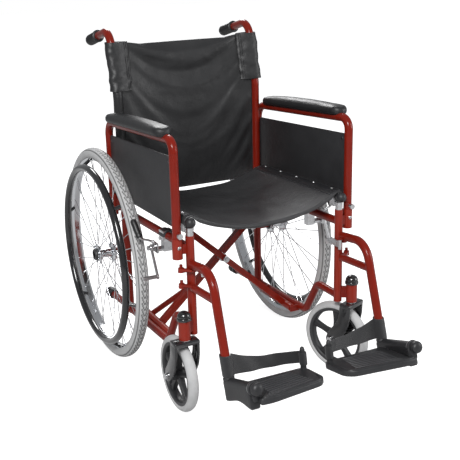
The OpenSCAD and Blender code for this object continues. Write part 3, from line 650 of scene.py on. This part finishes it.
def round_corners(points, radius, steps=5):
    """An outline with every corner swapped for a curve."""
    out = []
    n = len(points)
    for i in range(n):
        p, q, r = (Vector(points[(i + k) % n]) for k in (-1, 0, 1))
        cut = min(radius, 0.45 * (q - p).length, 0.45 * (r - q).length)
        a, b = q + (p - q).normalized() * cut, q + (r - q).normalized() * cut
        for k in range(steps + 1):
            t = k / steps
            out.append(a * (1 - t) ** 2 + q * 2 * t * (1 - t) + b * t ** 2)
    return out


def inset(outline, d):
    """An outline moved inwards by d."""
    n = len(outline)
    area2 = sum(outline[i].cross(outline[(i + 1) % n]) for i in range(n))
    sign = 1 if area2 > 0 else -1
    out = []
    for i in range(n):
        u = (outline[i] - outline[i - 1]).normalized()
        v = (outline[(i + 1) % n] - outline[i]).normalized()
        a, b = Vector((-u.y, u.x)), Vector((-v.y, v.x))
        m = (a + b).normalized()
        out.append(outline[i] + m * (sign * d / max(0.5, m.dot(a))))
    return out


def axes(x, y, z, at=(0, 0, 0)):
    """The matrix that sends the local axes to x, y, z and the local origin to at."""
    return Matrix.Translation(at) @ Matrix((x, y, z)).transposed().to_4x4()


TO_XZ = axes((1, 0, 0), (0, 0, 1), (0, 1, 0))     # outline in XZ, thickness along Y
TO_YZ = axes((0, 1, 0), (0, 0, 1), (1, 0, 0))     # outline in YZ, thickness along X
FLIP = Vector(joint("footplate_left_flip")["pos_m"])
FORWARD = -Vector(joint("footplate_left_flip")["axis"])
TUBE_UP = Vector((0, -FORWARD.z, FORWARD.y)) * -1
BRACKET = axes((1, 0, 0), FORWARD, TUBE_UP, FLIP + TUBE_UP * 0.010)
PLATE_REAR = FLIP + Vector((0, -0.018, 0.0035))
PLATE = (Matrix.Translation(PLATE_REAR) @ Matrix.Rotation(-math.radians(9), 4, "X"))
ARM_RUN = 0.474
ARM_INSET = 0.008          # the rear leg stands this far inboard of the front leg
ARM_TURN = math.atan2(ARM_INSET, ARM_RUN)
ARM_FRONT = Vector((0.246, AXLE.y - 0.448, 0))
ARM_L = math.hypot(ARM_RUN, ARM_INSET)
ARM = Matrix.Translation(ARM_FRONT) @ Matrix.Rotation(ARM_TURN, 4, "Z")


def turned(m, v):
    """A direction carried by a matrix."""
    return (m.to_3x3() @ Vector(v)).normalized()


# ---------- footrests ----------

def make_footplate(side, s):
    front, rear = -0.1333, 0.0
    x = FLIP.x
    outline = [(x - 0.005, front + 0.004), (x - 0.033, front), (x - 0.172, front + 0.022), (x - 0.190,
                                            front + 0.042),
               (x - 0.192, rear - 0.014), (x - 0.181, rear - 0.001), (x - 0.015, rear), (x - 0.015,
                                                       front + 0.018),
               (x - 0.005, front + 0.018)]
    place = Matrix.Translation((-FLIP.x, 0, 0)) @ PLATE
    shape = Shape()
    shape.prism(round_corners(outline, 0.011), -0.015, 0.0, place, bevel=0.0028)
    lip = smooth_path([(x - 0.013, front + 0.011, 0), (x - 0.034, front + 0.0075, 0), (x - 0.100,
                                            front + 0.018, 0),
                       (x - 0.168, front + 0.0285, 0), (x - 0.181, front + 0.043, 0), (x - 0.183,
                                                               front + 0.062, 0)])
    up = turned(place, UP)
    shape.sweep([place @ (p - UP * 0.0008) for p in lip], circle(0.0034, 12), up=up)
    fall = (0.022) / 0.139
    for i in range(8):
        y = front + 0.021 + i * 0.0112
        a, b = (place @ Vector((px, y + fall * (x - 0.033 - px), -0.0009)) for px in (x - 0.040,
                                                x - 0.158 + i * 0.002))
        shape.rod(a, b, 0.0026, 10)
    foot = place @ Vector((x - 0.180, rear - 0.017, -0.002))
    shape.solid_turn(foot, up, [(0.0078, 0), (0.0074, 0.006), (0.0064, 0.024), (0.0060, 0.050), (0.0050,
                                            0.0550),
                                (0.0025, 0.0575)], 28)
    ear = BRACKET @ Vector((0, 0.1236, -0.010))
    shape.solid_turn(ear, FORWARD, [(0.0140, 0), (0.0166, 0.0012), (0.0172, 0.0035), (0.0166, 0.0062),
                                    (0.0140, 0.0074)], 40)
    web = round_corners([(-0.0165, -0.012), (0.0095, -0.012), (0.0070, -0.040), (-0.0165, -0.040)], 0.004)
    shape.prism(web, 0.1240, 0.1305, BRACKET @ TO_XZ, bevel=0.0015)
    made = shape.piece(f"footplate_shell_{side}", f"footplate_{side}", "black_plastic", mirror=s < 0,
                       sharp=0.9)
    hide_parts(f"footplate_{side}")


def make_bracket(side, s):
    shape = Shape()
    rows = []
    ends = [(-0.0110, 0.82), (-0.0100, 0.93), (-0.0080, 1.0)]
    stations = ends + [(-0.0080 + 0.127 * k / 18, 1.0) for k in range(1, 18)] + [(0.1190, 1.0), (0.1206,
                                            0.95), (0.1212, 0.86)]
    for y, k in stations:
        t = (y + 0.011) / 0.133
        low = -0.052 + 0.007 * math.sin(math.pi * t) ** 2 - 0.006 * t ** 3
        waist = 0.0125 - 0.0012 * math.sin(math.pi * t)
        line = [(0.0130 * math.cos(math.radians(a)), -0.010 + 0.0130 * math.sin(math.radians(a)))
                for a in range(0, 181, 15)]
        line += [(-waist, -0.020), (-waist, low + 0.004), (-waist + 0.0012, low + 0.0012), (-waist + 0.004,
                                                low),
                 (waist - 0.004, low), (waist - 0.0012, low + 0.0012), (waist, low + 0.004), (waist, -0.020)]
        rows.append([BRACKET @ Vector((u * k, y, -0.022 + (v + 0.022) * k)) for u, v in line])
    shape.grid(rows, wrap_row=True, cap=True)
    shape.solid_turn(BRACKET @ Vector((0, -0.001, 0.0005)), TUBE_UP,
                     [(0.0132, -0.004), (0.0140, -0.003), (0.0140, 0.0022), (0.0132, 0.0030)], 40)
    shape.solid_turn(BRACKET @ Vector((0, 0.1318, -0.010)), FORWARD,
                     [(0.0050, -0.001), (0.0085, 0), (0.0125, 0.0022), (0.0148, 0.0062), (0.0152, 0.0105),
                      (0.0142, 0.0148),
                      (0.0115, 0.0182), (0.0070, 0.0203), (0.0025, 0.0210)], 40)
    made = shape.piece(f"footrest_housing_{side}", f"footrest_{side}", "black_plastic", mirror=s < 0,
                       sharp=1.0)
    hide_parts(f"footrest_bracket_{side}")
    metal = Shape()
    metal.solid_turn(BRACKET @ Vector((0, 0.1208, -0.010)), FORWARD,
                     [(0.0140, 0), (0.0156, 0.0006), (0.0156, 0.0020), (0.0140, 0.0026)], 40)
    metal.rod(BRACKET @ Vector((0, 0.112, -0.010)), BRACKET @ Vector((0, 0.137, -0.010)), 0.004)
    metal.rod(BRACKET @ Vector((0, 0, -0.013)), BRACKET @ Vector((0, 0, 0.110)), 0.0078, 28)
    made = metal.piece(f"footrest_metal_{side}", f"footrest_{side}", "zinc", mirror=s < 0)


def make_heel_loop(side, s):
    """A strap sewn round the hanger tube that runs behind the heel to the footplate's peg."""
    shape = Shape()
    lean = TUBE_UP.y / TUBE_UP.z
    peg_up = turned(PLATE, UP)
    peg = PLATE @ Vector((-0.180, -0.017, 0))
    rows = 14
    grid = []
    for j in range(rows + 1):
        v = j / rows
        z_tube = 0.1845 + 0.049 * v
        z_peg = 0.1815 + 0.036 * v
        at = Vector((FLIP.x, (BRACKET @ Vector()).y + lean * (z_tube - (BRACKET @ Vector()).z)))
        pin = Vector((peg.x, peg.y + peg_up.y * (z_peg - peg.z)))
        line = []
        for k in range(25):
            a = math.radians(150 - 330 * k / 24)
            line.append((at.x + 0.0136 * math.cos(a), at.y + 0.0136 * math.sin(a), z_tube))
        start = Vector(line[-1][:2])
        land = pin + Vector((0.0, 0.0088))
        for k in range(1, 40):
            t = k / 40
            p = start.lerp(land, t)
            belly = math.sin(math.pi * t)
            y = p.y + 0.020 * belly ** 0.8 - 0.004 * math.sin(2 * math.pi * t)
            sag = -(0.004 + 0.013 * v) * belly
            lift = 0.006 * (1 - v) * max(0.0, t - 0.6) ** 1.5 / 0.253
            z = z_tube + (z_peg - z_tube) * t ** 0.85 + sag + lift
            ripple = 0.0014 * math.sin(17 * t + 2.2 * v) * belly
            line.append((p.x, y + ripple + 0.003 * (v - 0.5) * belly, z))
        for k in range(15):
            a = math.radians(90 + 290 * k / 14)
            line.append((pin.x + 0.0088 * math.cos(a), pin.y + 0.0088 * math.sin(a), z_peg + 0.006 * (1 - v)))
        grid.append([Vector(p) for p in line])
    shape.grid(grid)
    loop = shape.piece(f"heel_strap_{side}", None, "webbing", mirror=s < 0, sharp=3)
    thicken(loop, 0.0022)
    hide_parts(f"heel_loop_{side}")
    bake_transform(loop)


# ---------- casters ----------

def caster_frames(side):
    stem = Vector(joint(f"caster_{side}_swivel")["pos_m"])
    roll = joint(f"caster_{side}_roll")
    fork = Matrix.Translation((stem.x, stem.y, 0)) @ Matrix.Rotation(math.atan2(roll["axis"][1],
                                            roll["axis"][0]), 4, "Z")
    wheel = Matrix.Translation(Vector(roll["pos_m"])) @ Matrix.Rotation(math.atan2(roll["axis"][1],
                                            roll["axis"][0]), 4, "Z")
    return fork, wheel


def make_caster(side, s):
    fork, wheel = caster_frames(side)
    across = turned(fork, (1, 0, 0))
    arm = [(-0.0165, 0.2110), (0.0165, 0.2110), (0.0180, 0.1850), (0.0230, 0.1620), (0.0400, 0.1380),
           (0.0570, 0.1140),
           (0.0610, 0.0970), (0.0520, 0.0860), (0.0400, 0.0860), (0.0270, 0.0980), (0.0070, 0.1180),
           (-0.0080, 0.1420),
           (-0.0150, 0.1720)]
    shape = Shape()
    for x in (-0.0340, 0.0272):
        shape.prism(round_corners(arm, 0.008), x, x + 0.0068, fork @ TO_YZ, bevel=0.0022)
    crown = round_corners([(-0.0345, 0.1990), (0.0345, 0.1990), (0.0345, 0.2120), (-0.0345, 0.2120)], 0.0052)
    shape.prism(crown, -0.0172, 0.0172, fork @ TO_XZ, bevel=0.0032)
    shape.solid_turn(fork @ Vector((0, 0, 0.2110)), UP, [(0.0078, 0), (0.0080, 0.001), (0.0080, 0.0585),
                                            (0.0070, 0.0595)], 28)
    made = shape.piece(f"caster_fork_shell_{side}", f"caster_fork_{side}", "black_paint", sharp=0.8)
    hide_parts(f"caster_fork_{side}")
    washer = Shape()
    washer.solid_turn(fork @ Vector((0, 0, 0.2116)), UP, [(0.0125, 0), (0.0138, 0.0004), (0.0138, 0.0017),
                                            (0.0125, 0.0021)], 36)
    for x in (-1, 1):
        washer.solid_turn(fork @ Vector((x * 0.0338, 0.046, 0.100)), across * x,
                          [(0.0072, 0), (0.0078, 0.0006), (0.0078, 0.0030), (0.0066, 0.0044), (0.0030,
                                                                  0.0050)], 28)
    washer.piece(f"caster_washers_{side}", f"caster_fork_{side}", "zinc")
    hub = Shape()
    hub.revolve(wheel.translation, across, [(0.0735, -0.0085), (0.0760, -0.0118), (0.0832, -0.0122),
                                            (0.0832, 0.0122),
                                            (0.0760, 0.0118), (0.0735, 0.0085), (0.0745, 0.0)], 96)
    hub.solid_turn(wheel.translation - across * 0.0252, across,
                   [(0.0100, 0), (0.0120, 0.0006), (0.0136, 0.0060), (0.0150, 0.0160), (0.0150, 0.0344),
                    (0.0136, 0.0444),
                    (0.0120, 0.0498), (0.0100, 0.0504)], 36)
    for i in range(5):
        a = 2 * math.pi * i / 5 + 0.3
        out, along = turned(wheel, (0, math.cos(a), math.sin(a))), turned(wheel, (0, -math.sin(a),
                                                math.cos(a)))
        rows = []
        for k in range(13):
            t = k / 12
            waist = 1 - 0.36 * math.sin(math.pi * min(1, t * 1.05))
            ring = rounded(0.0100 * waist, 0.0088 - 0.0022 * t, 0.0026, 3)
            rows.append([wheel.translation + out * (0.010 + 0.0655 * t) + along * u + across * v for u,
                         v in ring])
        hub.grid(rows, wrap_row=True, cap=True)
    made = hub.piece(f"caster_wheel_hub_{side}", f"caster_wheel_{side}", "black_plastic", sharp=0.9)
    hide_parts(f"caster_hub_{side}")
    rubber = Shape()
    section = [(0.0828, -0.0118), (0.0850, -0.0134)]
    for k in range(13):
        b = math.radians(-78 + 156 * k / 12)
        section.append((0.0858 + 0.0142 * math.cos(b) ** 0.9, 0.0142 * math.sin(b)))
    section += [(0.0850, 0.0134), (0.0828, 0.0118)]
    rubber.revolve(wheel.translation, across, section, 128)
    made = rubber.piece(f"caster_rubber_{side}", f"caster_wheel_{side}", "grey_tyre", sharp=1.5)
    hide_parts(f"caster_tyre_{side}")


def make_caster_cap(side, s):
    shape = Shape()
    shape.solid_turn((STEM.x, STEM.y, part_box("caster_cap_left")[0].z + 0.0004), UP,
                     [(0.0168, 0), (0.0181, 0.0008), (0.0181, 0.0060), (0.0172, 0.0072), (0.0160, 0.0082),
                      (0.0166, 0.0092),
                      (0.0168, 0.0120), (0.0158, 0.0150), (0.0136, 0.0190), (0.0100, 0.0218), (0.0060,
                                                              0.0236),
                      (0.0020, 0.0242)], 44)
    made = shape.piece(f"caster_cap_dome_{side}", f"{side}_side", "black_plastic",
                       materials=["black_paint"], mirror=s < 0)
    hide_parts(f"caster_cap_{side}")


# ---------- grips, caps and small parts ----------

def make_grip(side, s):
    end = Vector((CANE.x, AXLE.y + 0.203, 0.885))
    along = Vector((0, 0.165, -0.041)).normalized()
    start = end - along * 0.073
    profile = [(0.0130, 0.0), (0.0168, 0.0006), (0.0176, 0.0022), (0.0168, 0.0042), (0.0152, 0.0056)]
    for k in range(33):
        h = 0.008 + 0.0018 * k
        profile.append((0.0150 + (0.0009 if k % 2 else 0.0), h))
    profile += [(0.0156, 0.0680), (0.0158, 0.0720), (0.0148, 0.0755), (0.0118, 0.0777), (0.0060, 0.0784)]
    shape = Shape()
    shape.solid_turn(start, along, profile, 56)
    made = shape.piece(f"hand_grip_{side}", f"{side}_side", "black_grip", mirror=s < 0, sharp=1.2)
    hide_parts(f"grip_{side}")


def make_tip_cap(side, s):
    along = Vector((0, 0.468, -0.019)).normalized()
    start = Vector((CANE.x, AXLE.y + 0.178, 0.111)) - along * 0.034
    shape = Shape()
    shape.solid_turn(start, along, [(0.0120, 0), (0.0145, 0.0008), (0.0150, 0.0020), (0.0150, 0.0080),
                                    (0.0143, 0.0090),
                                    (0.0143, 0.0120), (0.0150, 0.0130), (0.0150, 0.0330), (0.0142, 0.0375),
                                    (0.0115, 0.0396), (0.0050, 0.0402)], 44)
    made = shape.piece(f"tipping_tip_{side}", f"{side}_side", "black_grip", mirror=s < 0, sharp=1.2)
    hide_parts(f"tip_cap_{side}")


def make_rail_plug(side, s):
    """Black ball plug on the front end of a seat rail."""
    body = "crossbar_b" if s > 0 else "crossbar_a"
    at = Vector((RAIL_X, RAIL_FRONT.y, RAIL_FRONT.z))
    back = (on_rail(0, 1, 0) - on_rail(0, 0, 0)).normalized()
    profile = [(0.0020, -0.0136)]
    for k in range(1, 15):
        b = math.radians(12 * k)
        profile.append((0.0136 * math.sin(b), -0.0136 * math.cos(b)))
    profile += [(0.0122, 0.0095), (0.0122, 0.0160), (0.0116, 0.0165)]
    profile = [p for p in profile if p[1] < 0.008 or p[0] > 0.0115]
    shape = Shape()
    shape.solid_turn(at, back, profile, 40)
    shape.piece(f"rail_plug_{side}", body, "black_plastic", mirror=s < 0, sharp=1.2)


def make_brake(side, s):
    pivot = Vector(joint("brake_left")["pos_m"])
    stem = Shape()
    stem.solid_turn(pivot + Vector((-0.0070, 0, 0)), (1, 0, 0), [(0.0095, 0), (0.0102, 0.0005),
                                            (0.0102, 0.0030),
                                                                (0.0095, 0.0035)], 36)
    plate = round_corners([(-0.0075, -0.002), (0.0075, -0.002), (0.0060, 0.0185), (-0.0060, 0.0185)], 0.003)
    stem.prism(plate, -0.0070, -0.0036, Matrix.Translation(pivot) @ TO_YZ, bevel=0.0006)
    bend = smooth_path([pivot + Vector(p) for p in ((-0.0055, 0, 0.0120), (0.0040, 0.0010, 0.0190),
                                            (0.0200, 0.0035, 0.0245),
                                                   (0.0300, 0.0060, 0.0310), (0.0325, 0.0200, 0.0480),
                                                   (0.0335, 0.0300, 0.0610))])
    stem.sweep(bend, circle(0.0030, 14), up=Vector((0.3, 1, 0.2)))
    made = stem.piece(f"brake_stem_{side}", f"brake_lever_{side}", "black_grip", materials=["zinc"],
                      mirror=s < 0)
    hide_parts(f"brake_lever_{side}")
    base, tip = pivot + Vector((0.0300, 0.0050, 0.0300)), pivot + Vector((0.0345, 0.0372, 0.0708))
    grip = Shape()
    grip.solid_turn(base, tip - base, [(0.0050, 0), (0.0074, 0.0010), (0.0082, 0.0040), (0.0080, 0.0100),
                                       (0.0076, 0.0120),
                                       (0.0080, 0.0140), (0.0082, 0.0400), (0.0080, 0.0470), (0.0066, 0.0505),
                                       (0.0030, 0.0522)], 36)
    made = grip.piece(f"brake_grip_{side}", f"brake_lever_{side}", "black_grip", mirror=s < 0)
    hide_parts(f"brake_lever_{side}")
    clamp_low, clamp_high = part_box("brake_clamp_left")
    middle = Vector((CANE.x, pivot.y + 0.004, 0))
    middle.z = clamp_high.z - 0.0135
    cap = Shape()
    rows = []
    for y, k in ((-0.0165, 0.90), (-0.0155, 1.0), (0.0155, 1.0), (0.0165, 0.90)):
        line = [(0.0155 * math.cos(a), 0.0155 * math.sin(a)) for a in (math.radians(d)
                                                for d in range(-10, 191, 10))]
        inner = [(0.0112 * math.cos(a), 0.0112 * math.sin(a)) for a in (math.radians(d)
                                                for d in range(190, -11, -10))]
        rows.append([middle + Vector((u * k, y, v * k - 0.044 * y)) for u, v in line + inner])
    cap.grid(rows, wrap_row=True, cap=True)
    cap.piece(f"brake_cap_{side}", f"{side}_side", "black_plastic", mirror=s < 0, sharp=0.8)
    bolts = Shape()
    for y in (-0.009, 0.009):
        at = Vector((CANE.x + 0.0135, middle.y + y, middle.z - 0.0105))
        bolts.solid_turn(at, (1, 0, 0), [(0.0046, 0), (0.0050, 0.0006), (0.0050, 0.0030), (0.0042, 0.0040)],
                         6)
    bolts.solid_turn(pivot + Vector((0.0082, 0, 0)), (1, 0, 0), [(0.0062, 0), (0.0068, 0.0006),
                                            (0.0068, 0.0038), (0.0058, 0.0046)], 6)
    bolts.piece(f"brake_bolts_{side}", f"{side}_side", "zinc", mirror=s < 0)


def make_side_panel(side, s):
    outline = [(0.0114, 0.4925), (ARM_L - 0.0114, 0.4745), (ARM_L - 0.0114, 0.6270), (ARM_L - 0.0150, 0.6415),
               (0.0114, 0.6685)]
    shape = Shape()
    shape.prism(round_corners(outline, 0.005), -0.0021, 0.0021, ARM @ TO_YZ, bevel=0.0012)
    made = shape.piece(f"clothes_guard_{side}", f"armrest_{side}", "black_plastic", materials=["panel_black"],
                       mirror=s < 0, sharp=0.8)
    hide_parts(f"side_panel_{side}")
    rivets = Shape()
    for y, z in ((0.026, 0.505), (0.026, 0.654), (ARM_L - 0.026, 0.489), (ARM_L - 0.030, 0.628)):
        for face in (-1, 1):
            rivets.solid_turn(ARM @ Vector((face * 0.0018, y, z)), turned(ARM, (face, 0, 0)),
                              [(0.0042, 0), (0.0044, 0.0006), (0.0034, 0.0015), (0.0014, 0.0019)], 20)
    rivets.piece(f"guard_rivets_{side}", f"armrest_{side}", "black_plastic", materials=["zinc_dark"],
                 mirror=s < 0)
    sockets = Shape()
    for at, face in ((ARM_FRONT, -1), (ARM @ Vector((0, ARM_L, 0)), 1)):
        sockets.solid_turn((at.x, at.y + face * 0.0124, 0.447), (0, face, 0),
                           [(0.0044, 0), (0.0048, 0.0010), (0.0038, 0.0024), (0.0016, 0.0030)], 20)
    sockets.piece(f"socket_rivets_{side}", f"{side}_side", "zinc", mirror=s < 0)


def make_cane_wrap():
    """Cloth turned round the right upright below its sleeve."""
    shape = Shape()
    rows = []
    for j in range(31):
        z = 0.545 + (SLEEVE_LOW + 0.004 - 0.545) * j / 30
        mid = cane_at(z)
        line = []
        for i in range(32):
            a = 2 * math.pi * i / 32
            p = mid + Vector((math.cos(a), math.sin(a), 0)) * 0.0128
            line.append(p + Vector((math.cos(a), math.sin(a), 0)) * 0.0007 * fbm(p, 60, 9.0))
        rows.append(line)
    shape.grid(rows, wrap_row=True, cap=True)
    shape.piece("back_cane_wrap_right", "right_side", "black_vinyl", mirror=True, sharp=1.2)


def main():
    make_seat()
    make_back()
    for side, s in SIDES:
        make_sleeve(side, s)
        make_tyre(side, s)
        make_hub_caps(side, s)
        make_footplate(side, s)
        make_bracket(side, s)
        make_heel_loop(side, s)
        make_caster(side, s)
        make_caster_cap(side, s)
        make_grip(side, s)
        make_tip_cap(side, s)
        make_rail_plug(side, s)
        make_brake(side, s)
        make_side_panel(side, s)
    make_cane_wrap()
    make_pad()


def dress_frame():
    """Procedural materials on the CAD nodes, by the record's slots."""
    for row in frame["record"]["subparts"]:
        made = frame["nodes"][row["node"]]
        slot = row["material_slot"]
        if row["node"].startswith("side_panel"):
            slot = "panel_black"
        if not made.material_slots:
            made.data.materials.append(MAT[slot])
        for place in made.material_slots:
            place.material = MAT[slot]


def area(name, at, target, size, power):
    data = bpy.data.lights.new(name, "AREA")
    data.shape = "DISK"
    data.size = size
    data.energy = power
    made = bpy.data.objects.new(name, data)
    scene.collection.objects.link(made)
    made.location = at
    made.rotation_euler = (Vector(target) - Vector(at)).to_track_quat("-Z", "Y").to_euler()


def camera_only(tree, seen, lit):
    """The output of one shader for camera rays and of another for all other rays."""
    mix = tree.nodes.new("ShaderNodeMixShader")
    tree.links.new(tree.nodes.new("ShaderNodeLightPath").outputs["Is Camera Ray"], mix.inputs["Fac"])
    tree.links.new(lit, mix.inputs[1])
    tree.links.new(seen, mix.inputs[2])
    return mix.outputs["Shader"]


def make_studio():
    floor = Shape()
    reach = 14.0
    floor.grid([[Vector((-reach, -reach, -0.0005)), Vector((reach, -reach, -0.0005))],
                [Vector((-reach, reach, -0.0005)), Vector((reach, reach, -0.0005))]])
    mesh = bpy.data.meshes.new("floor")
    floor.bm.to_mesh(mesh)
    floor.bm.free()
    made = bpy.data.objects.new("floor", mesh)
    scene.collection.objects.link(made)
    paper = surface("floor_white", (0.62, 0.62, 0.62), 0.8, mottle=(0.7, 0.01))
    tree = paper.node_tree
    glow = node(tree, "ShaderNodeEmission", Strength=0.84)
    both = tree.nodes.new("ShaderNodeAddShader")
    diffuse = tree.nodes["Principled BSDF"].outputs["BSDF"]
    tree.links.new(glow.outputs["Emission"], both.inputs[0])
    tree.links.new(diffuse, both.inputs[1])
    tree.links.new(camera_only(tree, both.outputs["Shader"], diffuse),
                   tree.nodes["Material Output"].inputs["Surface"])
    mesh.materials.append(paper)
    world = bpy.data.worlds.new("studio")
    scene.world = world
    world.use_nodes = True
    tree = world.node_tree
    dim = tree.nodes["Background"]
    dim.inputs["Color"].default_value = (0.95, 0.97, 1.0, 1)
    dim.inputs["Strength"].default_value = 0.32
    white = node(tree, "ShaderNodeBackground", Strength=1.0)
    white.inputs["Color"].default_value = (1, 1, 1, 1)
    tree.links.new(camera_only(tree, white.outputs["Background"], dim.outputs["Background"]),
                   tree.nodes["World Output"].inputs["Surface"])
    middle = (0, 0, 0.45)
    area("key", (-1.7, -2.3, 2.7), middle, 1.3, 95)
    area("fill", (2.6, -1.6, 1.3), middle, 1.5, 28)
    area("rim", (0.8, 2.6, 2.4), middle, 1.4, 55)


def make_camera():
    """Low three-quarter view from the front right."""
    yaw, pitch, roll = (math.radians(d) for d in (-26.4, -17.8, -1.4))
    ahead = Vector((-math.sin(yaw) * math.cos(pitch), math.cos(yaw) * math.cos(pitch), math.sin(pitch)))
    right = Vector((math.cos(yaw), math.sin(yaw), 0))
    top = right.cross(ahead)
    side = math.cos(roll) * right + math.sin(roll) * top
    over = -math.sin(roll) * right + math.cos(roll) * top
    data = bpy.data.cameras.new("camera")
    data.sensor_width = 36
    data.lens = 70.66
    made = bpy.data.objects.new("camera", data)
    scene.collection.objects.link(made)
    made.matrix_world = Matrix.Translation((-1.0513, -2.1069, 1.1519)) @ Matrix(
        (side, over, -ahead)).transposed().to_4x4()
    scene.camera = made


main()
dress_frame()
make_studio()
make_camera()
scene.view_settings.view_transform = "Standard"
